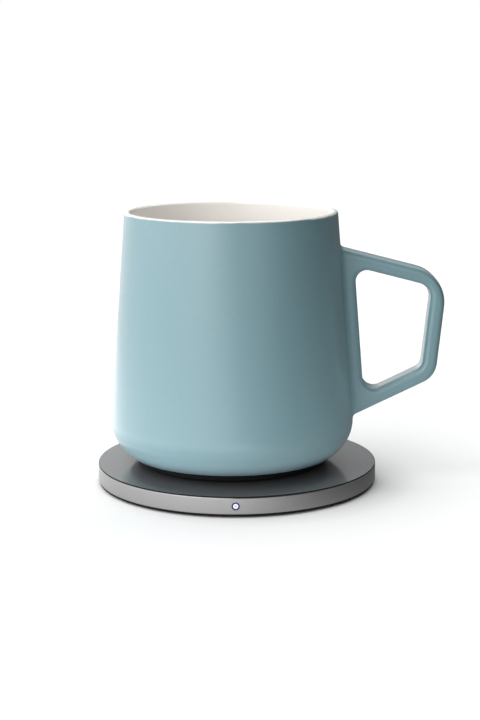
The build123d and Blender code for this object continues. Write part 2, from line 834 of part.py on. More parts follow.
# Mug foot: soft ring that the mug stands on
with BuildPart() as mug_foot:
    with BuildSketch(mug_level(z_plate)):
        Circle(mug_foot_radius)
        Circle(mug_foot_bore, mode=Mode.SUBTRACT)
    extrude(amount=mug_foot_show + mug_foot_sunk)
    fillet(mug_foot.edges().group_by(Axis.Z)[0], mug_foot_round)
mug_foot.part.label = "mug_foot"
export_step(mug_foot.part, "parts/mug_foot.step")


# Receiver coil: one flat layer of wire on the base cover's floor
with BuildPart() as receiver_coil:
    pickup_plane = mug_level(z_base_floor + glue_gap + pickup_wire / 2)
    with BuildLine(pickup_plane) as pickup_path:
        spiral(pickup_eye, pickup_pitch, pickup_turns)
    with BuildSketch(Plane(origin=pickup_path.line @ 0, z_dir=pickup_path.line % 0)):
        Circle(pickup_wire / 2)
    sweep(path=pickup_path.line)
receiver_coil.part.label = "receiver_coil"
export_step(receiver_coil.part, "parts/receiver_coil.step")
print_gap("receiver_coil", pickup_path.line, pickup_turns, pickup_wire)


# Receiver ferrite: sheet on the coil, below the board
with BuildPart() as receiver_ferrite:
    with BuildSketch(mug_level(z_pickup_ferrite)):
        Circle(pickup_ferrite_radius)
    extrude(amount=pickup_ferrite_thickness)
receiver_ferrite.part.label = "receiver_ferrite"
export_step(receiver_ferrite.part, "parts/receiver_ferrite.step")


# Receiver board: ring that stands on the cover's pillars
with BuildPart() as receiver_board:
    with BuildSketch(mug_level(z_receiver_board)):
        Circle(receiver_board_radius)
        Circle(receiver_board_bore, mode=Mode.SUBTRACT)
        with PolarLocations(pillar_circle, pillar_count, pillar_start_angle):
            Circle(stake_radius + glue_gap, mode=Mode.SUBTRACT)
    extrude(amount=receiver_board_thickness)
receiver_board.part.label = "receiver_board"
export_step(receiver_board.part, "parts/receiver_board.step")


# Parts soldered to the receiver's board
rectifier_count = 4
rectifier_start_angle = 60.0
rectifier_spread_angle = 90.0
rectifier_length = 2.6
rectifier_width = 1.6
rectifier_height = 1.0
receiver_chip_angle = 0.0
receiver_chip_side = 4.0
receiver_chip_height = 0.9
filter_angle = 180.0
filter_length = 3.2
filter_width = 1.6
filter_height = 1.2
filter_pitch = 2.6
filter_rows = 3

with BuildPart() as rectifier_diodes:
    with BuildSketch(mug_level(z_receiver_parts)):
        with PolarLocations(
            receiver_parts_circle, rectifier_count, rectifier_start_angle, rectifier_spread_angle
        ):
            Rectangle(rectifier_length, rectifier_width)
    extrude(amount=rectifier_height)
rectifier_diodes.part.label = "rectifier_diodes"
export_step(rectifier_diodes.part, "parts/rectifier_diodes.step")

with BuildPart() as receiver_chip:
    with BuildSketch(mug_level(z_receiver_parts)):
        with PolarLocations(receiver_parts_circle, 1, receiver_chip_angle):
            Rectangle(receiver_chip_side, receiver_chip_side)
    extrude(amount=receiver_chip_height)
receiver_chip.part.label = "receiver_chip"
export_step(receiver_chip.part, "parts/receiver_chip.step")

with BuildPart() as filter_capacitors:
    with BuildSketch(mug_level(z_receiver_parts)):
        with PolarLocations(receiver_parts_circle, 1, filter_angle):
            with GridLocations(filter_length + slip_gap, filter_pitch, 2, filter_rows):
                Rectangle(filter_length - slip_gap, filter_width)
    extrude(amount=filter_height)
filter_capacitors.part.label = "filter_capacitors"
export_step(filter_capacitors.part, "parts/filter_capacitors.step")
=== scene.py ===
# %% [markdown]
# # A self heating mug on its warming pad
# The object is a stoneware mug with a heater sealed into its foot, and a round induction pad
# that powers it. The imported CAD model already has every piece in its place, so this script
# leaves the shapes of most pieces alone. It gives them their finishes, builds the pieces whose
# shape or pattern a rule describes, and sets the camera and the light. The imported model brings
# plain stand-in materials. They are renamed, so that the finishes can have their names.

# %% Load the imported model
import json
import math

import bpy
from mathutils import Matrix, Vector


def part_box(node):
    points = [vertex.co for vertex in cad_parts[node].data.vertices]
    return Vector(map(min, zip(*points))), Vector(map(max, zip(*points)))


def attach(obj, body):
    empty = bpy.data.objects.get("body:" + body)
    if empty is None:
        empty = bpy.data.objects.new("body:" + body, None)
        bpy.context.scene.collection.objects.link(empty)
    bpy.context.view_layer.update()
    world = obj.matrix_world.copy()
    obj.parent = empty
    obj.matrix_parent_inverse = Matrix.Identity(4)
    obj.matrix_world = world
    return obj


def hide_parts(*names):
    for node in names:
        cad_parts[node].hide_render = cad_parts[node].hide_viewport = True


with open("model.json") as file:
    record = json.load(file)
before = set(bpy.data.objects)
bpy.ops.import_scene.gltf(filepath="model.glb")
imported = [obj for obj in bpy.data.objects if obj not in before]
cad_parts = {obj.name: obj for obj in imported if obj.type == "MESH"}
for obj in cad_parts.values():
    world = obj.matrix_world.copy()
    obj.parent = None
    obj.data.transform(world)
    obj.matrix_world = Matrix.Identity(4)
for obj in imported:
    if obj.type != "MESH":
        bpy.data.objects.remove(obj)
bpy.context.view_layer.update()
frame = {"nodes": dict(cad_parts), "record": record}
for stand_in in bpy.data.materials:
    stand_in.name = "packed_" + stand_in.name
MM = 0.001

# %% [markdown]
# The camera could be placed by eye, but a long lens from half a metre away shows the rim's
# ellipse, the pad's ellipse and the mug's leaning sides with exact proportions, so its place
# was worked out from those. It looks slightly down, and it stands a trace to the right of the
# pad's light, which is why the light seems a little left of the middle.

# %% Camera
CAMERA_DISTANCE = 559.34 * MM
CAMERA_HEIGHT = 155.56 * MM
CAMERA_ORBIT = math.radians(0.55)
CAMERA_PITCH = math.radians(11.224)
CAMERA_PAN = math.radians(0.137)
CAMERA_ROLL = math.radians(-0.28)
LENS = 78


def camera_matrix():
    """Place and turn of a camera that is described by its orbit, pan, pitch and roll."""
    heading = CAMERA_PAN - CAMERA_ORBIT
    forward = Vector(
        (
            math.sin(heading) * math.cos(CAMERA_PITCH),
            math.cos(heading) * math.cos(CAMERA_PITCH),
            -math.sin(CAMERA_PITCH),
        )
    )
    level = Vector((math.cos(heading), -math.sin(heading), 0))
    upright = level.cross(forward)
    right = math.cos(CAMERA_ROLL) * level + math.sin(CAMERA_ROLL) * upright
    up = math.cos(CAMERA_ROLL) * upright - math.sin(CAMERA_ROLL) * level
    place = Vector(
        (
            math.sin(CAMERA_ORBIT) * CAMERA_DISTANCE,
            -math.cos(CAMERA_ORBIT) * CAMERA_DISTANCE,
            CAMERA_HEIGHT,
        )
    )
    turn = Matrix((right, up, -forward)).transposed().to_4x4()
    return Matrix.Translation(place) @ turn


camera = bpy.data.objects.new("camera", bpy.data.cameras.new("camera"))
camera.data.lens = LENS
camera.matrix_world = camera_matrix()
bpy.context.scene.collection.objects.link(camera)
bpy.context.scene.camera = camera
print("camera at", [round(value, 3) for value in camera.location])

# %% [markdown]
# Every finish below is a tree of shader nodes. Adding a node, setting its numbers and joining
# it to the others takes several calls each time, so one helper does all three: a socket is
# given either a value or another node's output. Products are common, so they have a short
# form. The last helper tells the rays that look at the room, which is to be plain white, from
# the rays that carry light to the object.


# %% Helpers for nodes
def add(tree, kind, inputs=None, **settings):
    """Add a node, set its properties, then fill its inputs with values or links."""
    node = tree.nodes.new(kind)
    for name, value in settings.items():
        setattr(node, name, value)
    for socket, value in (inputs or {}).items():
        if isinstance(value, bpy.types.NodeSocket):
            tree.links.new(value, node.inputs[socket])
        else:
            node.inputs[socket].default_value = value
    return node


def math_node(tree, operation, *values):
    """A Math node's output, from numbers or sockets."""
    node = add(tree, "ShaderNodeMath", dict(enumerate(values)), operation=operation)
    return node.outputs[0]


def product(tree, *values):
    """The product of numbers and sockets, in their order."""
    result = values[0]
    for value in values[1:]:
        result = math_node(tree, "MULTIPLY", result, value)
    return result


def looked_at(tree):
    """A light path's outputs, and 1 for the rays that see the room: the camera's and glass's."""
    rays = add(tree, "ShaderNodeLightPath").outputs
    return rays, math_node(tree, "MAXIMUM", rays["Is Camera Ray"], rays["Is Transmission Ray"])


print("node helpers ready")

# %% [markdown]
# A photographer lights such a mug with large soft boxes to the left, lets the right side fall
# into shade, and sets it on a white sweep. Real soft boxes stand metres away, so here they are
# drawn on the world itself, each as a soft-edged patch of light in some direction. That lights
# the whole floor evenly, as lamps nearby would not. The boxes stand in three rows, one above
# the other, and a single tight one high on the left brightens the floor and the upper faces.

# %% Soft boxes
# A row is named by its elevation, and lists the strength of its boxes by their azimuth, in
# degrees. Azimuth 0 is straight in front of the pad's light, and it grows towards the left.
BOX_ROWS = {
    6: {0: 0.22, 26: 3.03, 51: 1.69, 77: 1.68, 103: 1.86, 154: 2.59, 334: 1.2},
    34: {36: 0.98, 180: 0.35, 216: 0.63},
    62: {72: 1.64, 144: 1.23, 216: 2.07},
}
SOFT, TIGHT = 14, 100
SOFT_BOXES = [
    (azimuth, elevation, SOFT, strength)
    for elevation, row in BOX_ROWS.items()
    for azimuth, strength in row.items()
]
SOFT_BOXES.append((60, 62, TIGHT, 5.5))


def direction_of(azimuth, elevation):
    """A unit vector from the object towards a place on the world."""
    turn, lift = math.radians(azimuth), math.radians(elevation)
    return (-math.sin(turn) * math.cos(lift), -math.cos(turn) * math.cos(lift), math.sin(lift))


def soft_box(sky, looking, azimuth, elevation, tightness, strength):
    """Brightness of one soft box in the direction that is looked at."""
    centre = direction_of(azimuth, elevation)
    near = add(sky, "ShaderNodeVectorMath", {0: looking, 1: centre}, operation="DOT_PRODUCT")
    away = math_node(sky, "SUBTRACT", near.outputs["Value"], 1)
    fall = math_node(sky, "EXPONENT", product(sky, away, tightness))
    return product(sky, fall, strength)


print("soft boxes:", len(SOFT_BOXES))

# %% [markdown]
# The world adds the boxes up. Blender's world has one colour for each direction, so a sum of
# patches is all that it takes. Rays from the camera and through glass get plain white instead.

# %% World
scene = bpy.context.scene
scene.view_settings.view_transform = "Standard"
world = bpy.data.worlds.new("studio")
world.use_nodes = True
scene.world = world
sky = world.node_tree
sky.nodes.clear()
looking = add(sky, "ShaderNodeTexCoord").outputs["Generated"]
brightness = 0.0
for box in SOFT_BOXES:
    brightness = math_node(sky, "ADD", brightness, soft_box(sky, looking, *box))
_, seen = looked_at(sky)
room = add(sky, "ShaderNodeBackground", {"Color": (1, 1, 1, 1), "Strength": brightness})
white = add(sky, "ShaderNodeBackground", {"Color": (1, 1, 1, 1), "Strength": 1})
either = add(sky, "ShaderNodeMixShader", {0: seen, 1: room.outputs[0], 2: white.outputs[0]})
add(sky, "ShaderNodeOutputWorld", {"Surface": either.outputs[0]})
print("world:", world.name)

# %% [markdown]
# The floor is a white sweep, far larger than the picture. One flat face is enough for it. It
# isn't a part of the object.

# %% Floor sheet
FLOOR_REACH = 12.0
ends = (-FLOOR_REACH, FLOOR_REACH)
floor_mesh = bpy.data.meshes.new("floor")
floor_mesh.from_pydata([(x, y, 0) for y in ends for x in ends], [], [(0, 1, 3, 2)])
floor = bpy.data.objects.new("floor", floor_mesh)
scene.collection.objects.link(floor)
print("floor", 2 * FLOOR_REACH, "m wide")

# %% [markdown]
# Many looks change from place to place: a shadow near the pad, a pale heel, a dark edge. Such a
# look is a mask, a number from 0 to 1 that depends on where the face is. It could be painted on
# an image, but a measure and a ramp over it stay sharp at any size. These helpers measure a
# place, turn a measure into a mask, and mix two looks by that mask.


# %% Helpers for masks
def coordinates(tree):
    """Place on the object: the whole vector, then x, y and z."""
    place = add(tree, "ShaderNodeTexCoord").outputs["Object"]
    return place, *add(tree, "ShaderNodeSeparateXYZ", {0: place}).outputs


def from_axis(tree, across, along):
    """Distance from an axis, given the two coordinates square to it."""
    flat = add(tree, "ShaderNodeCombineXYZ", {0: across, 1: along}).outputs[0]
    return add(tree, "ShaderNodeVectorMath", {0: flat}, operation="LENGTH").outputs["Value"]


def ramp_over(tree, value, start, end, shape="LINEAR"):
    """A value's share of the way from start to end, kept between 0 and 1."""
    inputs = {"Value": value, "From Min": start, "From Max": end}
    return add(tree, "ShaderNodeMapRange", inputs, interpolation_type=shape).outputs[0]


def blend(tree, mask, first, second, kind="RGBA"):
    """A mix of two colours by a mask, or of two numbers where the kind is FLOAT."""
    one, other, result = (6, 7, 2) if kind == "RGBA" else (2, 3, 0)
    inputs = {0: mask, one: first, other: second}
    return add(tree, "ShaderNodeMix", inputs, data_type=kind).outputs[result]


print("mask helpers ready")

# %% [markdown]
# The sweep's own colour is a matt white, and a part of what is seen of it is emitted, so that
# it blends into the white background. That glow fades out close to the pad, a little further
# on the shaded side, which leaves the contact shadow.

# %% Floor glow
FLOOR_GLOW = 0.172
SHADOW_CENTRE = (6 * MM, 0, 0)
SHADOW_CORE, SHADOW_END = 40 * MM, 63 * MM
PAD_EDGE, CONTACT_END = 50.6 * MM, 52 * MM
sweep = bpy.data.materials.new("white_sweep")
sweep.use_nodes = True
tree = sweep.node_tree
tree.nodes.clear()
place, x, _, _ = coordinates(tree)


def distance_from(centre):
    """Distance on the floor from a point."""
    gap = add(tree, "ShaderNodeVectorMath", {0: place, 1: centre}, operation="DISTANCE")
    return gap.outputs["Value"]


out = distance_from((0, 0, 0))
shade = ramp_over(tree, distance_from(SHADOW_CENTRE), SHADOW_CORE, SHADOW_END)
contact = ramp_over(tree, out, PAD_EDGE, CONTACT_END)
glow = product(tree, shade, contact, FLOOR_GLOW)
print("glow fades within", round(SHADOW_END / MM), "mm of the pad's middle")

# %% [markdown]
# In a studio the main light also pools round the object and fills its underside, a white card
# stands behind on the left, and a black flag on the right darkens what the metal mirrors. They
# could be sheets and lamps of their own, but those would throw shadows that the picture
# doesn't have. Here the floor does all three for every ray but the camera's: the pool for
# light that a matt face scatters, the card for what a glossy face mirrors, and the flag takes
# light away on the right, except close to the object.

# %% Light pool, card and flag
POOL_FILL = 1.02
POOL_EDGE, POOL_END = 130 * MM, 420 * MM
CARD_GLEAM = 0.95
CARD_START, CARD_FULL = 75 * MM, 110 * MM
FLAG_START, FLAG_FULL = 0 * MM, 68 * MM
NEAR_EDGE, NEAR_END = 75 * MM, 150 * MM
rays, seen = looked_at(tree)
mirrored = rays["Is Glossy Ray"]
scattered = math_node(tree, "SUBTRACT", 1, math_node(tree, "MAXIMUM", seen, mirrored))
unflagged = ramp_over(tree, x, FLAG_FULL, FLAG_START)
near = product(tree, scattered, ramp_over(tree, out, NEAR_END, NEAR_EDGE))
kept = math_node(tree, "MAXIMUM", math_node(tree, "MAXIMUM", unflagged, near), seen)
pool = product(tree, scattered, POOL_FILL)
card = product(tree, mirrored, ramp_over(tree, out, CARD_START, CARD_FULL), CARD_GLEAM)
reach = product(tree, ramp_over(tree, out, POOL_END, POOL_EDGE), kept)
fill = product(tree, math_node(tree, "ADD", pool, card), reach)
print("pool reaches", round(POOL_END / MM), "mm, card begins at", round(CARD_START / MM), "mm")

# %% [markdown]
# The parts come together in one material: white paper where light is kept and dark paper where
# the flag takes it, plus what the floor emits. From below the floor is clear, so that the
# underside of the pad can be looked at.

# %% Floor material
PAPER, FLAGGED_PAPER = (0.85, 0.85, 0.85, 1), (0.12, 0.12, 0.12, 1)
colour = blend(tree, kept, FLAGGED_PAPER, PAPER)
paper = add(tree, "ShaderNodeBsdfDiffuse", {"Color": colour})
strength = math_node(tree, "ADD", product(tree, glow, kept), fill)
light = add(tree, "ShaderNodeEmission", {"Color": (1, 1, 1, 1), "Strength": strength})
both = add(tree, "ShaderNodeAddShader", {0: paper.outputs[0], 1: light.outputs[0]})
clear = add(tree, "ShaderNodeBsdfTransparent")
side = add(tree, "ShaderNodeNewGeometry").outputs["Backfacing"]
mixed = add(tree, "ShaderNodeMixShader", {0: side, 1: both.outputs[0], 2: clear.outputs[0]})
add(tree, "ShaderNodeOutputMaterial", {"Surface": mixed.outputs[0]})
floor_mesh.materials.append(sweep)
print("floor finished as", sweep.name)

# %% [markdown]
# Several finishes share the same small effects: the fine grain of a moulded or blasted face,
# lines left by turning, and the faint patchiness that any handled surface has. Each effect is
# a node group with named inputs, built once here and placed in the materials that need it.


# %% Helper for shader groups
def new_group(name, inputs, outputs):
    """An empty shader node group with named inputs and outputs."""
    group = bpy.data.node_groups.new(name, "ShaderNodeTree")
    for socket, kind, value in inputs:
        made = group.interface.new_socket(socket, in_out="INPUT", socket_type=kind)
        made.default_value = value
    for socket, kind in outputs:
        group.interface.new_socket(socket, in_out="OUTPUT", socket_type=kind)
    given, result = group.nodes.new("NodeGroupInput"), group.nodes.new("NodeGroupOutput")
    return group, given.outputs, result.inputs


FLOAT, COLOUR = "NodeSocketFloat", "NodeSocketColor"
NOISE_LOW, NOISE_MIDDLE, NOISE_HIGH = 0.3, 0.5, 0.7
print("noise is used from", NOISE_LOW, "to", NOISE_HIGH)

# %% [markdown]
# Glaze, rubber, moulded plastic and blasted metal have a grain that is felt more than seen. One
# noise gives both halves of it, two close tones and a fine relief, so that they agree.


# %% Fine grain
def make_grain():
    """Fine grain: two close tones and a relief, at a size given in grains per metre."""
    group, given, result = new_group(
        "fine_grain",
        [
            ("Per metre", FLOAT, 4000),
            ("Tone", COLOUR, (0.5, 0.5, 0.5, 1)),
            ("Second tone", COLOUR, (0.4, 0.4, 0.4, 1)),
        ],
        [("Tone", COLOUR), ("Relief", FLOAT)],
    )
    where = add(group, "ShaderNodeTexCoord").outputs["Object"]
    noise = add(
        group,
        "ShaderNodeTexNoise",
        {"Vector": where, "Scale": given["Per metre"], "Detail": 3, "Roughness": 0.6},
    )
    share = ramp_over(group, noise.outputs[0], NOISE_LOW, NOISE_HIGH)
    tone = blend(group, share, given["Tone"], given["Second tone"])
    group.links.new(tone, result["Tone"])
    group.links.new(noise.outputs[0], result["Relief"])
    return group


GRAIN = make_grain()
print("group:", GRAIN.name)

# %% [markdown]
# Hands and cloths leave a surface a little glossier in one place than in another. A slow noise
# that shifts the roughness up and down shows that without a mark that anyone would notice.


# %% Handled patches
def make_patches():
    """Slow patches that shift a roughness up and down, as handling and wiping leave."""
    group, given, result = new_group(
        "handled_patches",
        [("Roughness", FLOAT, 0.4), ("Spread", FLOAT, 0.05), ("Per metre", FLOAT, 40)],
        [("Roughness", FLOAT)],
    )
    where = add(group, "ShaderNodeTexCoord").outputs["Object"]
    noise = add(
        group,
        "ShaderNodeTexNoise",
        {"Vector": where, "Scale": given["Per metre"], "Detail": 4, "Distortion": 0.6},
    )
    shift = math_node(group, "SUBTRACT", noise.outputs[0], NOISE_MIDDLE)
    scaled = product(group, shift, given["Spread"])
    total = math_node(group, "ADD", scaled, given["Roughness"])
    group.links.new(total, result["Roughness"])
    return group


PATCHES = make_patches()
print("group:", PATCHES.name)

# %% [markdown]
# A lathe leaves fine lines that run round the axis. They are noise, stretched along each turn:
# it changes fast with the radius and the height, and slowly with the angle. The angle enters
# as its sine and cosine, so that the lines close without a seam.


# %% Turned lines
def make_turned_lines():
    """Fine lines round the vertical axis, as turning leaves on a rim or a face."""
    group, given, result = new_group(
        "turned_lines",
        [("Per metre", FLOAT, 6000), ("Wander", FLOAT, 30)],
        [("Lines", FLOAT)],
    )
    _, x, y, z = coordinates(group)
    across = product(group, from_axis(group, x, y), given["Per metre"])
    height = product(group, z, given["Per metre"])
    heading = math_node(group, "ARCTAN2", y, x)
    sine = product(group, math_node(group, "SINE", heading), given["Wander"])
    cosine = product(group, math_node(group, "COSINE", heading), given["Wander"])
    line = math_node(group, "ADD", across, height)
    place = add(group, "ShaderNodeCombineXYZ", {0: sine, 1: cosine, 2: line})
    noise = add(
        group, "ShaderNodeTexNoise", {"Vector": place.outputs[0], "Scale": 1, "Detail": 2}
    )
    group.links.new(noise.outputs[0], result["Lines"])
    return group


TURNED = make_turned_lines()
print("group:", TURNED.name)

# %% [markdown]
# Each finish starts from the same shader, takes a few of the groups, and may end in a relief.
# Values that are the same all over go straight onto the shader, where the export finds them.
# A name in a call can't hold a space, so the helpers take an underscore for it.


# %% Helpers for finishes
FINISHES = {}


def spaced(values):
    """The same values, under the names that Blender gives to the sockets."""
    return {name.replace("_", " "): value for name, value in values.items()}


def start_finish(name, **values):
    """Start a finish: its tree, and its shader with the constant values set."""
    material = bpy.data.materials.new(name)
    material.use_nodes = True
    FINISHES[name] = material
    tree = material.node_tree
    tree.nodes.clear()
    shader = add(tree, "ShaderNodeBsdfPrincipled", spaced(values))
    add(tree, "ShaderNodeOutputMaterial", {"Surface": shader.outputs[0]})
    return tree, shader


def place_group(tree, group, **values):
    """One use of a node group in a material."""
    return add(tree, "ShaderNodeGroup", spaced(values), node_tree=group)


def feed(tree, shader, **outputs):
    """Join other nodes' outputs to the shader."""
    for socket, output in spaced(outputs).items():
        tree.links.new(output, shader.inputs[socket])


def relief(tree, shader, height, depth):
    """Bump from a height output, with the depth of its relief in metres."""
    bump = add(tree, "ShaderNodeBump", {"Height": height, "Distance": depth})
    feed(tree, shader, Normal=bump.outputs[0])


print("finish helpers ready")

# %% [markdown]
# The mug wears two glazes. Outside it is a satin blue-green that scatters light almost like
# eggshell. The inside and the lip are a clear gloss over white. On the real mug the potter
# wipes the lip after dipping, and the two glazes meet in a soft line just under it. They could
# be two materials on two sets of faces, but then the line would follow the mesh. A mask from
# the place on the mug, by radius and height, keeps it exact: white lies above a slightly
# wavering height, and everywhere closer to the axis than the wall's inner side.

# %% Where the white glaze lies
MUG_AXIS_X = -1.6 * MM
LIP_TOP = 99.26 * MM
GLAZE_LINE = LIP_TOP - 0.42 * MM
LINE_WIDTH, LINE_WAVER = 0.7 * MM, 0.5 * MM
WAVERS_PER_METRE = 160
RIM_INSIDE_RADIUS, HEEL_INSIDE_RADIUS = 37.3 * MM, 42.2 * MM
INSIDE_FLOOR = 17.5 * MM
WALL_LEAN = 5.88 / 75.06
tree, shader = start_finish(
    "teal_glaze", IOR=1.5, Coat_Weight=0.8, Coat_Roughness=0.2, Coat_IOR=1.5
)
place, x, y, z = coordinates(tree)
waver = add(tree, "ShaderNodeTexNoise", {"Vector": place, "Scale": WAVERS_PER_METRE, "Detail": 2})
waver = math_node(tree, "SUBTRACT", waver.outputs[0], NOISE_MIDDLE)
height = math_node(tree, "ADD", z, product(tree, waver, LINE_WAVER))
line_bottom, line_top = GLAZE_LINE - LINE_WIDTH / 2, GLAZE_LINE + LINE_WIDTH / 2
above = ramp_over(tree, height, line_bottom, line_top, "SMOOTHSTEP")
drop = math_node(tree, "SUBTRACT", LIP_TOP, z)
wall = math_node(tree, "ADD", product(tree, drop, WALL_LEAN), RIM_INSIDE_RADIUS)
wall = math_node(tree, "MINIMUM", wall, HEEL_INSIDE_RADIUS)
radius = from_axis(tree, math_node(tree, "SUBTRACT", x, MUG_AXIS_X), y)
inside = math_node(tree, "LESS_THAN", radius, wall)
over_floor = math_node(tree, "GREATER_THAN", z, INSIDE_FLOOR)
inside = product(tree, inside, over_floor)
white_mask = math_node(tree, "MAXIMUM", above, inside)
print("glazes meet", round((LIP_TOP - GLAZE_LINE) / MM, 2), "mm below the lip")

# %% [markdown]
# Towards the heel the blue is painted paler: this is painted light, which stands in for light
# thrown up onto the heel from below. Below a set height the sole is black and matt. Both follow
# the height alone. The same masks mix the colours and the roughnesses, so that colour and gloss
# change at the same place.

# %% Two glazes and a dark sole
TEAL, TEAL_SHADE = (0.154, 0.270, 0.302, 1), (0.146, 0.260, 0.292, 1)
PAINTED_HEEL_LIGHT_TEAL = (0.28, 0.425, 0.47, 1)
WHITE_GLAZE = (0.95, 0.925, 0.885, 1)
SOLE_BLACK = (0.012, 0.012, 0.012, 1)
SATIN, GLOSSY, MATT = 0.5, 0.2, 0.8
HEEL_LIGHT_FROM, HEEL_LIGHT_TO = 20 * MM, 12 * MM
SOLE = 10.9 * MM
DARK_SOLE_EDGE, DARK_SOLE_FULL = SOLE + 0.25 * MM, SOLE + 0.1 * MM
satin = place_group(tree, GRAIN, Per_metre=900.0, Tone=TEAL, Second_tone=TEAL_SHADE)
# painted light: the blue turns paler towards the heel, standing in for light from below
painted_heel_light = ramp_over(tree, z, HEEL_LIGHT_FROM, HEEL_LIGHT_TO, "SMOOTHSTEP")
outside = blend(tree, painted_heel_light, satin.outputs["Tone"], PAINTED_HEEL_LIGHT_TEAL)
glaze = blend(tree, white_mask, outside, WHITE_GLAZE)
# the sole is black and matt below a set height
dark_sole = ramp_over(tree, z, DARK_SOLE_EDGE, DARK_SOLE_FULL)
colour = blend(tree, dark_sole, glaze, SOLE_BLACK)
patches = place_group(tree, PATCHES, Roughness=SATIN, Spread=0.04, Per_metre=60.0)
gloss = blend(tree, white_mask, patches.outputs[0], GLOSSY, "FLOAT")
gloss = blend(tree, dark_sole, gloss, MATT, "FLOAT")
feed(tree, shader, Base_Color=colour, Roughness=gloss)
relief(tree, shader, satin.outputs["Relief"], depth=0.004 * MM)
print("thin glaze from", round(HEEL_LIGHT_FROM / MM), "down to", round(HEEL_LIGHT_TO / MM), "mm")

# %% [markdown]
# The ring is aluminium, turned, fine blasted and anodised grey. Metal takes its colour from
# what it reflects, so the finish is a metallic shader with a soft roughness. The turning
# lines stretch reflections along the rim and are barely raised.

# %% Anodised ring
ANODISED, ANODISED_SHADE = (0.385, 0.378, 0.381, 1), (0.349, 0.342, 0.346, 1)
STREAK = 0.2
tree, shader = start_finish("satin_metal", Metallic=1.0)
lines = place_group(tree, TURNED, Per_metre=9000.0, Wander=6.0)
grain = place_group(tree, GRAIN, Per_metre=9000.0, Tone=ANODISED, Second_tone=ANODISED_SHADE)
patches = place_group(tree, PATCHES, Roughness=0.34, Spread=0.06, Per_metre=50.0)
streak = product(tree, math_node(tree, "SUBTRACT", lines.outputs[0], NOISE_MIDDLE), STREAK)
rough = math_node(tree, "ADD", patches.outputs[0], streak)
feed(tree, shader, Base_Color=grain.outputs["Tone"], Roughness=rough)
relief(tree, shader, lines.outputs[0], depth=0.004 * MM)
print("made satin_metal")

# %% [markdown]
# The top plate is a hard dark gloss. Nearly all that is seen of it at this low angle is the
# mirror image of the mug and the sweep. That image has a clear outline and a soft inside, so
# one roughness can't give it. A satin base makes the soft part, and a thin clear coat over it
# makes the outline. Patches vary the base's roughness, as a wiped surface does. The cut edge
# is left black and matt without a coat, and it reads as a dark line above the ring. A mask by
# radius separates the two.

# %% Gloss plate
PLATE_GREY, PLATE_SHADE = (0.108, 0.112, 0.117, 1), (0.096, 0.1, 0.104, 1)
EDGE_BLACK = (0.004, 0.004, 0.004, 1)
PLATE_EDGE = 50.78 * MM
PLATE_COAT = 0.6
PLATE_ROUGH, EDGE_ROUGH = 0.4, 0.7
tree, shader = start_finish("gloss_plate", IOR=1.3, Coat_Roughness=0.1, Coat_IOR=1.5)
grain = place_group(tree, GRAIN, Per_metre=3000.0, Tone=PLATE_GREY, Second_tone=PLATE_SHADE)
patches = place_group(tree, PATCHES, Roughness=PLATE_ROUGH, Spread=0.04, Per_metre=45.0)
_, x, y, _ = coordinates(tree)
cut = math_node(tree, "GREATER_THAN", from_axis(tree, x, y), PLATE_EDGE)
feed(
    tree,
    shader,
    Base_Color=blend(tree, cut, grain.outputs["Tone"], EDGE_BLACK),
    Roughness=blend(tree, cut, patches.outputs[0], EDGE_ROUGH, "FLOAT"),
    Coat_Weight=blend(tree, cut, PLATE_COAT, 0, "FLOAT"),
)
print("made gloss_plate, with a cut edge beyond", round(PLATE_EDGE / MM, 2), "mm")

# %% [markdown]
# Plastics, rubber, boards and small metal share one recipe: a grain of two close tones, a patchy
# roughness and a relief. A table holds what differs, which is easier to read and to change than
# ten trees. The blacks have a low mirror share. Black plastic and soft black are black parts, but
# their tones and mirror share are set darker than such materials are. That extra darkness is
# painted shade: it keeps the gap under the mug as black as the shade there.

# %% Plain finishes
PLAIN = {
    # name: tone, second tone, grains per metre, relief in mm, roughness, metallic, mirror share
    # painted shade in part: these two blacks are darker than real plastic and rubber
    "black_plastic": ((0.005, 0.005, 0.006), (0.008, 0.008, 0.009), 5000, 0.02, 0.6, 0, 0.1),
    "soft_black": ((0.006, 0.006, 0.006), (0.01, 0.01, 0.01), 7000, 0.012, 0.85, 0, 0.1),
    "dark_bezel": ((0.005, 0.006, 0.02), (0.009, 0.01, 0.028), 4000, 0.002, 0.3, 0, 0.2),
    "lamp_white": ((0.85, 0.85, 0.80), (0.78, 0.78, 0.70), 2500, 0.004, 0.4, 0, 0.5),
    "chip_black": ((0.03, 0.03, 0.03), (0.018, 0.018, 0.019), 9000, 0.006, 0.6, 0, 0.4),
    "capacitor_tan": ((0.45, 0.33, 0.20), (0.38, 0.27, 0.16), 5000, 0.004, 0.5, 0, 0.5),
    "ferrite_grey": ((0.08, 0.08, 0.09), (0.05, 0.05, 0.055), 2500, 0.01, 0.75, 0, 0.3),
    "spreader_aluminium": ((0.78, 0.78, 0.79), (0.70, 0.70, 0.72), 6000, 0.004, 0.35, 1, 0.5),
    "plated_steel": ((0.60, 0.59, 0.57), (0.52, 0.51, 0.49), 6000, 0.002, 0.3, 1, 0.5),
    "gold_plate": ((0.85, 0.62, 0.24), (0.78, 0.55, 0.2), 6000, 0.002, 0.28, 1, 0.5),
}


def handled(tree, shader, roughness, spread, per_metre):
    """A roughness that varies in patches, on a finish's shader."""
    given = {"Roughness": roughness, "Spread": spread, "Per_metre": float(per_metre)}
    patches = place_group(tree, PATCHES, **given)
    feed(tree, shader, Roughness=patches.outputs[0])


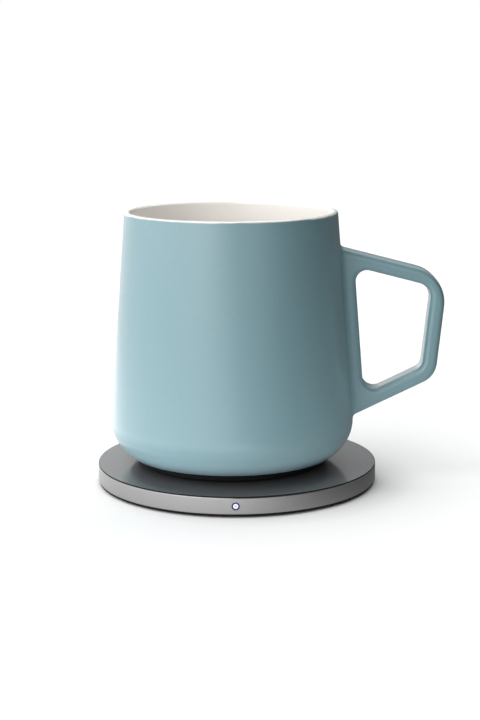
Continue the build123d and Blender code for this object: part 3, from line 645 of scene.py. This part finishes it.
def plain_finish(name, tone, second, per_metre, depth, roughness, metallic, mirror):
    """A finish with a fine grain, for plastics, rubber, ceramics and small metal."""
    tree, shader = start_finish(name, Metallic=float(metallic), Specular_IOR_Level=mirror)
    tones = {"Tone": (*tone, 1), "Second_tone": (*second, 1)}
    grain = place_group(tree, GRAIN, Per_metre=float(per_metre), **tones)
    feed(tree, shader, Base_Color=grain.outputs["Tone"])
    handled(tree, shader, roughness, spread=0.08, per_metre=120)
    relief(tree, shader, grain.outputs["Relief"], depth=depth * MM)


for name, values in PLAIN.items():
    plain_finish(name, *values)
print("plain finishes:", len(PLAIN))

# %% [markdown]
# The pad's light is a frosted button over a lamp. It has a violet core with a bright ring
# round it, and it darkens towards its rim. A lamp behind real frosting would need many rays to
# look smooth. A glow whose colour follows the distance from the button's centre looks the same
# and stays clean.

# %% Light lens
LIGHT_HEIGHT, LENS_RADIUS = 4.14 * MM, 1.07 * MM
GLOW_CORE, GLOW_RIM = (0.34, 0.34, 0.8, 1), (0.01, 0.012, 0.05, 1)
GLOW_BETWEEN = {
    0.25: (0.5, 0.5, 0.92, 1),
    0.5: (0.9, 0.9, 1.0, 1),
    0.74: (0.8, 0.82, 1.0, 1),
    0.9: (0.05, 0.06, 0.2, 1),
}
tree, shader = start_finish(
    "light_lens", Roughness=0.35, Base_Color=(0.06, 0.06, 0.08, 1), Emission_Strength=1.0
)
_, x, _, z = coordinates(tree)
distance = from_axis(tree, x, math_node(tree, "SUBTRACT", z, LIGHT_HEIGHT))
share = math_node(tree, "DIVIDE", distance, LENS_RADIUS)
ramp = add(tree, "ShaderNodeValToRGB", {0: share})
stops = ramp.color_ramp.elements
stops[0].color, stops[1].color = GLOW_CORE, GLOW_RIM
for position, colour in GLOW_BETWEEN.items():
    stops.new(position).color = colour
feed(tree, shader, Emission_Color=ramp.outputs[0])
print("made light_lens with", len(stops), "stops")

# %% [markdown]
# The light guide is clear moulded plastic. It keeps plain glass values on its shader, so that
# the export can carry them.

# %% Clear guide
tree, shader = start_finish(
    "clear_plastic", IOR=1.49, Transmission_Weight=1.0, Base_Color=(0.93, 0.95, 0.97, 1)
)
handled(tree, shader, roughness=0.06, spread=0.04, per_metre=300)
print("made clear_plastic")

# %% [markdown]
# The heater is a foil that is etched into a long track and sealed in amber film. Seen from
# afar its track is a row of rings, so a ring pattern round the mug's axis, made crisp by a
# ramp, gives both the colour and the raised track.

# %% Amber heater film
FILM_AMBER, FOIL = (0.45, 0.2, 0.03, 1), (0.62, 0.4, 0.2, 1)
TRACK_SCALE = 110
TRACK_START, TRACK_FULL = 0.45, 0.55
tree, shader = start_finish("film_amber", IOR=1.6)
where = add(tree, "ShaderNodeTexCoord").outputs["Object"]
centred = add(tree, "ShaderNodeMapping", {"Vector": where, "Location": (-MUG_AXIS_X, 0, 0)})
rings = add(
    tree,
    "ShaderNodeTexWave",
    {"Vector": centred.outputs[0], "Scale": TRACK_SCALE, "Distortion": 0},
    wave_type="RINGS",
    rings_direction="Z",
)
track = ramp_over(tree, rings.outputs["Fac"], TRACK_START, TRACK_FULL)
feed(tree, shader, Base_Color=blend(tree, track, FILM_AMBER, FOIL))
handled(tree, shader, roughness=0.25, spread=0.06, per_metre=100)
relief(tree, shader, track, depth=0.02 * MM)
print("made film_amber")

# %% [markdown]
# The two boards are glass fibre under a green mask, over copper tracks that show as slightly
# lighter, raised lines. A brick pattern gives straight tracks that turn at right angles, as a
# layout does.

# %% Boards
TRACK_WIDTH, TRACK_RUN, TRACK_PITCH = 0.22 * MM, 5.3 * MM, 1.7 * MM
tree, shader = start_finish("board_green")
bricks = add(
    tree,
    "ShaderNodeTexBrick",
    {
        "Vector": add(tree, "ShaderNodeTexCoord").outputs["Object"],
        "Scale": 1,
        "Mortar Size": TRACK_WIDTH,
        "Mortar Smooth": 0.1,
        "Brick Width": TRACK_RUN,
        "Row Height": TRACK_PITCH,
        "Color1": (0.012, 0.085, 0.04, 1),
        "Color2": (0.014, 0.092, 0.044, 1),
        "Mortar": (0.03, 0.15, 0.07, 1),
    },
)
feed(tree, shader, Base_Color=bricks.outputs["Color"])
handled(tree, shader, roughness=0.3, spread=0.08, per_metre=150)
relief(tree, shader, bricks.outputs["Fac"], depth=0.03 * MM)
print("made board_green")

# %% [markdown]
# The coils are bundles of enamelled copper strands, so their colour varies along the wire
# between bright copper and the brown of its enamel.

# %% Copper wire
COPPER, ENAMEL = (0.72, 0.31, 0.13, 1), (0.5, 0.19, 0.07, 1)
tree, shader = start_finish("copper_wire", Metallic=1.0)
grain = place_group(tree, GRAIN, Per_metre=1800.0, Tone=COPPER, Second_tone=ENAMEL)
feed(tree, shader, Base_Color=grain.outputs["Tone"])
handled(tree, shader, roughness=0.32, spread=0.1, per_metre=400)
print("finishes in all:", len(FINISHES))

# %% [markdown]
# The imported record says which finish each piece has. Handing the new materials out from that
# list leaves no piece with its plain stand-in colour.

# %% Finishes onto the pieces
for part in frame["record"]["subparts"]:
    piece = frame["nodes"][part["node"]]
    for holder in piece.material_slots:
        holder.material = FINISHES[part["material_slot"]]

# %% [markdown]
# Many of the pieces are turned shapes, wound wire or the same thing repeated, and each of
# these is a rule. They could be modelled by hand, but a Geometry Nodes tree with named sizes
# states the rule once and serves every piece that follows it. Each result is then kept as a
# plain mesh, because the exported part has no live trees.


# %% Geometry Nodes helpers
CRISP_ANGLE = math.radians(35)
INT = "NodeSocketInt"


def new_tree(name, inputs):
    """A tree that takes a geometry and named sizes, and gives a geometry."""
    tree = bpy.data.node_groups.new(name, "GeometryNodeTree")
    sockets = [("Geometry", "NodeSocketGeometry", None), *inputs]
    sockets.append(("Material", "NodeSocketMaterial", None))
    for socket, kind, value in sockets:
        made = tree.interface.new_socket(socket, in_out="INPUT", socket_type=kind)
        if value is not None:
            made.default_value = value
    tree.interface.new_socket("Geometry", in_out="OUTPUT", socket_type="NodeSocketGeometry")
    return tree, tree.nodes.new("NodeGroupInput").outputs


def end_tree(tree, given, geometry):
    """Close a tree: real geometry in place of instances, then its material."""
    real = add(tree, "GeometryNodeRealizeInstances", {"Geometry": geometry})
    look = {"Geometry": real.outputs[0], "Material": given["Material"]}
    dressed = add(tree, "GeometryNodeSetMaterial", look)
    add(tree, "NodeGroupOutput", {0: dressed.outputs[0]})


def grow(name, tree, mesh, finish, body, node, **sizes):
    """Run a tree on a mesh, and keep the result as a plain piece in the place of a CAD node."""
    seed = bpy.data.objects.new(name + "_seed", mesh)
    scene.collection.objects.link(seed)
    modifier = seed.modifiers.new(tree.name, "NODES")
    modifier.node_group = tree
    values = spaced(sizes) | {"Material": FINISHES[finish]}
    for socket in tree.interface.items_tree:
        if socket.in_out == "INPUT" and socket.name in values:
            modifier[socket.identifier] = values[socket.name]
    settled = seed.evaluated_get(bpy.context.evaluated_depsgraph_get())
    piece = bpy.data.objects.new(name, bpy.data.meshes.new_from_object(settled))
    bpy.data.objects.remove(seed)
    scene.collection.objects.link(piece)
    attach(piece, body)
    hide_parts(node)
    print(name, len(piece.data.polygons), "faces")


print("edges stay crisp from", round(math.degrees(CRISP_ANGLE)), "degrees")

# %% [markdown]
# A turned piece is a profile swung round an axis. The tree lays out a grid with one column of
# points for each step round and one row for each point of the profile, and moves every grid
# point to its profile point, turned by its column's angle. Merging then closes the seam and
# the poles. Edges sharper than a set angle stay crisp, and the rest shade smoothly.


# %% Turned pieces: the tree
def round_axis(tree, radius, angle, height, axis_x):
    """A place at an angle round an upright axis."""
    across = product(tree, radius, math_node(tree, "COSINE", angle))
    across = math_node(tree, "ADD", across, axis_x)
    along = product(tree, radius, math_node(tree, "SINE", angle))
    return add(tree, "ShaderNodeCombineXYZ", {0: across, 1: along, 2: height}).outputs[0]


def make_turning():
    """Swing a profile in the XZ plane round the vertical axis."""
    tree, given = new_tree("turned_piece", [("Steps", INT, 240), ("Axis X", FLOAT, 0.0)])
    corners = given["Geometry"]
    count = add(tree, "GeometryNodeAttributeDomainSize", {"Geometry": corners}).outputs[0]
    steps = given["Steps"]
    columns = math_node(tree, "ADD", steps, 1)
    grid = add(tree, "GeometryNodeMeshGrid", {"Vertices X": columns, "Vertices Y": count})
    index = add(tree, "GeometryNodeInputIndex").outputs[0]
    row = math_node(tree, "FLOORED_MODULO", index, count)
    column = math_node(tree, "FLOOR", math_node(tree, "DIVIDE", index, count))
    spot = add(tree, "GeometryNodeInputPosition").outputs[0]
    found = add(
        tree,
        "GeometryNodeSampleIndex",
        {"Geometry": corners, "Value": spot, "Index": row},
        data_type="FLOAT_VECTOR",
    )
    radius, _, height = add(tree, "ShaderNodeSeparateXYZ", {0: found.outputs[0]}).outputs
    angle = product(tree, math_node(tree, "DIVIDE", column, steps), math.tau)
    place = round_axis(tree, radius, angle, height, given["Axis X"])
    moved = {"Geometry": grid.outputs["Mesh"], "Position": place}
    swung = add(tree, "GeometryNodeSetPosition", moved).outputs[0]
    merging = {"Geometry": swung, "Distance": 0.001 * MM}
    closed = add(tree, "GeometryNodeMergeByDistance", merging).outputs[0]
    bend = add(tree, "GeometryNodeInputMeshEdgeAngle").outputs["Unsigned Angle"]
    crisp = math_node(tree, "GREATER_THAN", bend, CRISP_ANGLE)
    shaded = add(
        tree,
        "GeometryNodeSetShadeSmooth",
        {"Geometry": closed, "Selection": crisp, "Shade Smooth": False},
        domain="EDGE",
    )
    end_tree(tree, given, shaded.outputs[0])
    return tree


TURNING = make_turning()
print("tree:", TURNING.name)

# %% [markdown]
# A profile is drawn as a maker would note it: the corners in order, each with its radius, its
# height and how far it is rounded. The helpers below turn a rounded corner into a short arc,
# and work out the corners that repeat, such as the ribs of a sole. The points always run so
# that the faces of the turned piece look outwards.

# %% Profiles
ARC_STEPS = 5
GROOVE_SHARE = 0.45
RIB_SLOPE = 0.05


def rounded(before, corner, after, bend):
    """Points of the arc that rounds a corner between its two neighbours."""
    back, ahead = (before - corner).normalized(), (after - corner).normalized()
    half = back.angle(ahead) / 2
    centre = corner + (back + ahead).normalized() * bend / math.sin(half)
    first = (corner + back * bend / math.tan(half) - centre).normalized()
    last = (corner + ahead * bend / math.tan(half) - centre).normalized()
    return [centre + first.slerp(last, i / ARC_STEPS) * bend for i in range(ARC_STEPS + 1)]


def profile(name, corners):
    """A mesh of edges from corners given as radius, height and rounding in millimetres."""
    points = []
    spots = [Vector(corner[:2]) for corner in corners]
    for number, (_, _, bend) in enumerate(corners):
        if bend:
            points += rounded(spots[number - 1], spots[number], spots[number + 1], bend)
        else:
            points.append(spots[number])
    ends = zip(points, points[1:] + points[:1])
    if sum(here.cross(there) for here, there in ends) < 0:
        points.reverse()
    mesh = bpy.data.meshes.new(name + "_profile")
    edges = [(number, number + 1) for number in range(len(points) - 1)]
    mesh.from_pydata([(point.x * MM, 0, point.y * MM) for point in points], edges, [])
    return mesh


def ribbed(outer, inner, bottom, depth, pitch):
    """Corners of a ribbed underside, from the outer radius in to the inner one."""
    corners = []
    for rib in range(int((outer - inner) / pitch)):
        start = outer - rib * pitch
        end = start - pitch * GROOVE_SHARE
        corners += [(start, bottom, 0), (start - RIB_SLOPE, bottom + depth, 0)]
        corners += [(end + RIB_SLOPE, bottom + depth, 0), (end, bottom, 0)]
    return corners


def band(inner, outer, bottom, top, bend=0):
    """Corners of a ring with a four-sided section, whose outer edges may be rounded."""
    low, high = (inner, bottom, 0), (inner, top, 0)
    return [low, (outer, bottom, bend), (outer, top, bend), high, low]


print("profile helpers ready")

# %% [markdown]
# The glossy lid is one disc with a thin rim over the ring. Its edge is barely broken, which
# catches the thin bright line that runs round it. The gasket under its rim shows as a dark
# line. The lid is turned in more steps than the rest, because its edge is seen closest.

# %% Lid and gasket
LID_RADIUS, LID_TOP, LID_EDGE = 50.9, 7.47, 0.12
SEAT_RADIUS, SEAT_BOTTOM, SEAT_EDGE = 49.25, 6.17, 0.1
RIM_BOTTOM, GASKET_BOTTOM = 7.17, 7.03
GASKET_INNER, GASKET_OUTER = 49.4, 50.55
lid = [
    (0, SEAT_BOTTOM, 0),
    (SEAT_RADIUS, SEAT_BOTTOM, SEAT_EDGE),
    (SEAT_RADIUS, RIM_BOTTOM, 0),
    (LID_RADIUS, RIM_BOTTOM, 0),
    (LID_RADIUS, LID_TOP, LID_EDGE),
    (0, LID_TOP, 0),
]
gasket = band(GASKET_INNER, GASKET_OUTER, GASKET_BOTTOM, RIM_BOTTOM)
grow("pad_lid", TURNING, profile("lid", lid), "gloss_plate", "pad", "top_plate", Steps=360)
grow("lid_gasket", TURNING, profile("gasket", gasket), "soft_black", "pad", "top_gasket")

# %% [markdown]
# The pad stands on a soft disc and the mug on a soft ring. Both are moulded with fine ribs,
# which grip a wet table better than a flat face would. The mug's ring rests on the lid.

# %% Ribbed feet
RIB_DEPTH = 0.12
FOOT_RADIUS, FOOT_TOP, FOOT_EDGE = 49.15, 0.8, 0.15
FOOT_RIBS_OUTER, FOOT_RIBS_INNER, FOOT_RIB_PITCH = 47.4, 30, 1.6
RING_INNER, RING_OUTER, RING_TOP, RING_EDGE = 27, 31, 8.67, 0.3
RING_RIBS_OUTER, RING_RIBS_INNER, RING_RIB_PITCH = 30.1, 27.6, 0.9
foot = [
    (0, FOOT_TOP, 0),
    (FOOT_RADIUS, FOOT_TOP, 0),
    (FOOT_RADIUS, 0, FOOT_EDGE),
    *ribbed(FOOT_RIBS_OUTER, FOOT_RIBS_INNER, 0, RIB_DEPTH, FOOT_RIB_PITCH),
    (0, 0, 0),
]
ring = [
    (RING_INNER, RING_TOP, 0),
    (RING_OUTER, RING_TOP, 0),
    (RING_OUTER, LID_TOP, RING_EDGE),
    *ribbed(RING_RIBS_OUTER, RING_RIBS_INNER, LID_TOP, RIB_DEPTH, RING_RIB_PITCH),
    (RING_INNER, LID_TOP, RING_EDGE),
    (RING_INNER, RING_TOP, 0),
]
grow("grip_foot", TURNING, profile("foot", foot), "soft_black", "pad", "foot_pad")
turned = profile("mug_foot", ring)
grow("mug_foot_ring", TURNING, turned, "soft_black", "mug", "mug_foot", Axis_X=MUG_AXIS_X)

# %% [markdown]
# A soft seal keeps water out of the mug's heater bay. It is a plain band, rounded where it
# presses against the ceramic.

# %% Seal of the mug's base
SEAL_INNER, SEAL_OUTER = 33, 34.85
SEAL_BOTTOM, SEAL_TOP, SEAL_EDGE = 10.3, 10.9, 0.1
seal = band(SEAL_INNER, SEAL_OUTER, SEAL_BOTTOM, SEAL_TOP, SEAL_EDGE)
turned = profile("seal", seal)
grow("mug_seal", TURNING, turned, "soft_black", "mug", "base_seal", Axis_X=MUG_AXIS_X)

# %% [markdown]
# Power crosses from the pad to the mug between two flat coils. A true spiral would need its
# length worked out. A winding jig does it more simply, with half turns whose centres step from
# side to side, each half a pitch wider than the last. The path's points are laid out so.


# %% Wound coils: the path
POINTS_PER_HALF = 40


def winding_path(tree, given):
    """Half turns in a row, as one curve."""
    halves = product(tree, given["Turns"], 2)
    points = math_node(tree, "ADD", product(tree, halves, POINTS_PER_HALF), 1)
    line = add(tree, "GeometryNodeCurvePrimitiveLine")
    path = add(tree, "GeometryNodeResampleCurve", {"Curve": line.outputs[0], "Count": points})
    index = add(tree, "GeometryNodeInputIndex").outputs[0]
    done = math_node(tree, "DIVIDE", index, POINTS_PER_HALF)
    last = math_node(tree, "SUBTRACT", halves, 1)
    half = math_node(tree, "MINIMUM", math_node(tree, "FLOOR", done), last)
    odd = math_node(tree, "FLOORED_MODULO", half, 2)
    within = math_node(tree, "SUBTRACT", done, half)
    angle = product(tree, math_node(tree, "ADD", odd, within), math.pi)
    radius = math_node(tree, "ADD", given["Eye"], product(tree, half, given["Pitch"], 0.5))
    side = math_node(tree, "SUBTRACT", product(tree, odd, 2), 1)
    centre = product(tree, side, given["Pitch"], 0.25)
    centre = math_node(tree, "ADD", centre, given["Axis X"])
    place = round_axis(tree, radius, angle, given["Height"], centre)
    moved = {"Geometry": path.outputs[0], "Position": place}
    return add(tree, "GeometryNodeSetPosition", moved).outputs[0]


print("points in a half turn:", POINTS_PER_HALF)

# %% [markdown]
# Such a coil is wound from stranded wire, so that its current spreads over many thin wires.
# Modelling each strand would cost many faces for a hidden piece. A lobed section that twists
# as it is swept along the path reads as a bundle of strands.


# %% Wound coils: the wire
POINTS_PER_STRAND = 4
VALLEY_SHARE = 0.09


def strand_section(tree, given):
    """A round section that is pinched in between its strands."""
    lobes = product(tree, given["Strands"], POINTS_PER_STRAND)
    section = add(tree, "GeometryNodeCurvePrimitiveCircle", {"Resolution": lobes, "Radius": 1.0})
    index = add(tree, "GeometryNodeInputIndex").outputs[0]
    valley = math_node(tree, "FLOORED_MODULO", index, POINTS_PER_STRAND)
    valley = math_node(tree, "LESS_THAN", valley, 0.5)
    pinch = math_node(tree, "SUBTRACT", 0.5, product(tree, valley, VALLEY_SHARE))
    size = product(tree, pinch, given["Wire"])
    spot = add(tree, "GeometryNodeInputPosition").outputs[0]
    scaled = add(tree, "ShaderNodeVectorMath", {0: spot, "Scale": size}, operation="SCALE")
    pinched = {"Geometry": section.outputs["Curve"], "Position": scaled.outputs[0]}
    return add(tree, "GeometryNodeSetPosition", pinched).outputs[0]


def make_winding():
    """A flat coil of twisted strands."""
    tree, given = new_tree(
        "wound_coil",
        [
            ("Eye", FLOAT, 10.5 * MM),
            ("Pitch", FLOAT, 1.6 * MM),
            ("Turns", INT, 7),
            ("Wire", FLOAT, 1.15 * MM),
            ("Strands", INT, 6),
            ("Twists per metre", FLOAT, 90.0),
            ("Height", FLOAT, 5.3 * MM),
            ("Axis X", FLOAT, 0.0),
        ],
    )
    length = add(tree, "GeometryNodeSplineParameter").outputs["Length"]
    twist = product(tree, length, given["Twists per metre"], math.tau)
    tilted = {"Curve": winding_path(tree, given), "Tilt": twist}
    path = add(tree, "GeometryNodeSetCurveTilt", tilted).outputs[0]
    swept = {"Curve": path, "Profile Curve": strand_section(tree, given), "Fill Caps": True}
    end_tree(tree, given, add(tree, "GeometryNodeCurveToMesh", swept).outputs[0])
    return tree


WINDING = make_winding()
print("tree:", WINDING.name)

# %% [markdown]
# The pad's coil and the mug's coil differ in their wire, their pitch and the eye that they
# leave open. Each lies on its body's axis, at the middle height of the solid that it replaces.
# Their tree draws its own path, so it starts from an empty mesh.


# %% Wound coils
def middle_height(node):
    """Height of the middle of a CAD node."""
    low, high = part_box(node)
    return (low.z + high.z) / 2


EMPTY = bpy.data.meshes.new("nothing")
middle = middle_height("transmitter_coil")
grow("pad_coil", WINDING, EMPTY, "copper_wire", "pad", "transmitter_coil", Height=middle)
finer = {"Eye": 9.5 * MM, "Pitch": 1.35 * MM, "Turns": 8, "Wire": 0.9 * MM, "Strands": 5}
finer |= {"Height": middle_height("receiver_coil"), "Axis_X": MUG_AXIS_X}
grow("mug_coil", WINDING, EMPTY, "copper_wire", "mug", "receiver_coil", **finer)

# %% [markdown]
# Screws repeat round a circle. One screw is built from rows of points, where a row is round
# or six sided, and a tree sets copies of it round the circle. The cover's screws have
# countersunk heads and go in from below, and the board's screws have rounded heads.


# %% One screw
POINTS_ROUND = 24
THREAD_PITCH, THREAD_DEPTH = 0.35, 0.12


def screw_mesh(name, rows):
    """A screw from rows of radius, height and number of sides, in millimetres."""
    spots, faces = [], []
    for radius, height, sides in rows:
        for step in range(POINTS_ROUND):
            angle = math.tau * step / POINTS_ROUND
            reach = radius * MM
            if sides:
                sector = math.tau / sides
                reach *= math.cos(sector / 2) / math.cos(angle % sector - sector / 2)
            spots.append((reach * math.cos(angle), reach * math.sin(angle), height * MM))
    for row in range(0, len(spots) - POINTS_ROUND, POINTS_ROUND):
        for step in range(POINTS_ROUND):
            here, there = row + step, row + (step + 1) % POINTS_ROUND
            faces.append((here, here + POINTS_ROUND, there + POINTS_ROUND, there))
    faces.append(tuple(range(POINTS_ROUND)))
    faces.append(tuple(reversed(range(len(spots) - POINTS_ROUND, len(spots)))))
    mesh = bpy.data.meshes.new(name)
    mesh.from_pydata(spots, [], faces)
    mesh.shade_smooth()
    mesh.set_sharp_from_angle(angle=CRISP_ANGLE)
    return mesh


def threaded(radius, top, bottom):
    """Rows of a thread, drawn as ridges."""
    rows = []
    root = radius - THREAD_DEPTH
    height = top
    while height - THREAD_PITCH > bottom:
        rows += [(root, height, 0), (radius, height - THREAD_PITCH / 2, 0)]
        height -= THREAD_PITCH
    return rows + [(root, height, 0), (root - THREAD_DEPTH, bottom, 0)]


print("screw helpers ready")

# %% [markdown]
# Each screw is listed from the floor of its six-sided socket up to the socket's edge, then out
# and down over the head, where zero sides means a round row. The board's screws are short and
# have a rounded head that stands on the board. The cover's are longer, with a flush head.

# %% Two kinds of screw
PAN_RADIUS, PAN_LENGTH = 0.8, 1.7
FLUSH_RADIUS, FLUSH_LENGTH, FLUSH_THREAD_START = 1.0, 3.4, 0.75
pan_socket = [(0.75, 0.4, 6), (0.75, 0.9, 6)]
pan_head = [(1.1, 0.9, 0), (1.4, 0.75, 0), (1.5, 0.4, 0), (1.5, 0, 0)]
pan_thread = threaded(PAN_RADIUS, 0, -PAN_LENGTH)
pan_screw = screw_mesh("pan_screw", pan_socket + pan_head + pan_thread)
flush_socket = [(0.85, -0.5, 6), (0.85, 0, 6)]
flush_head = [(1.65, 0, 0), (1.7, -0.05, 0), (FLUSH_RADIUS, -0.7, 0)]
flush_thread = threaded(FLUSH_RADIUS, -FLUSH_THREAD_START, -FLUSH_LENGTH)
flush_screw = screw_mesh("flush_screw", flush_socket + flush_head + flush_thread)
print("screws:", len(pan_screw.vertices), "and", len(flush_screw.vertices), "points")

# %% [markdown]
# Both sets of screws sit evenly on a circle. Placing each by hand would repeat the same sum,
# so the tree puts points on the circle, faces each outwards, and sets one screw on each.


# %% Screws round a circle: the tree
def make_ring_of():
    """Copies of a piece round a circle, turned over if they go in from below."""
    tree, given = new_tree(
        "ring_of_copies",
        [
            ("Count", INT, 3),
            ("Circle", FLOAT, 40 * MM),
            ("Start", FLOAT, 0.0),
            ("Height", FLOAT, 0.0),
            ("Turned over", FLOAT, 0.0),
        ],
    )
    dots = add(tree, "GeometryNodePoints", {"Count": given["Count"]}).outputs[0]
    index = add(tree, "GeometryNodeInputIndex").outputs[0]
    share = math_node(tree, "DIVIDE", index, given["Count"])
    swing = product(tree, share, math.tau)
    angle = math_node(tree, "ADD", swing, given["Start"])
    place = round_axis(tree, given["Circle"], angle, given["Height"], 0)
    spread = add(tree, "GeometryNodeSetPosition", {"Geometry": dots, "Position": place})
    over = product(tree, given["Turned over"], math.pi)
    facing = add(tree, "ShaderNodeCombineXYZ", {0: over, 2: angle})
    copies = add(
        tree,
        "GeometryNodeInstanceOnPoints",
        {
            "Points": spread.outputs[0],
            "Instance": given["Geometry"],
            "Rotation": facing.outputs[0],
        },
    )
    end_tree(tree, given, copies.outputs[0])
    return tree


RING_OF = make_ring_of()
print("tree:", RING_OF.name)

# %% [markdown]
# Three screws hold the pad's board, and four hold the bottom cover to the ring. The cover's go
# in from below, where the soft disc hides them.

# %% Screws of the pad
BOARD_HOLES = {"Count": 3, "Circle": 38.2 * MM, "Start": math.radians(90), "Height": 3.1 * MM}
COVER_HOLES = {"Count": 4, "Circle": 47.0 * MM, "Start": math.radians(45), "Height": 0.8 * MM}
COVER_HOLES["Turned_over"] = 1.0
grow("board_fixings", RING_OF, pan_screw, "plated_steel", "pad", "board_screws", **BOARD_HOLES)
grow("cover_fixings", RING_OF, flush_screw, "plated_steel", "pad", "cover_screws", **COVER_HOLES)
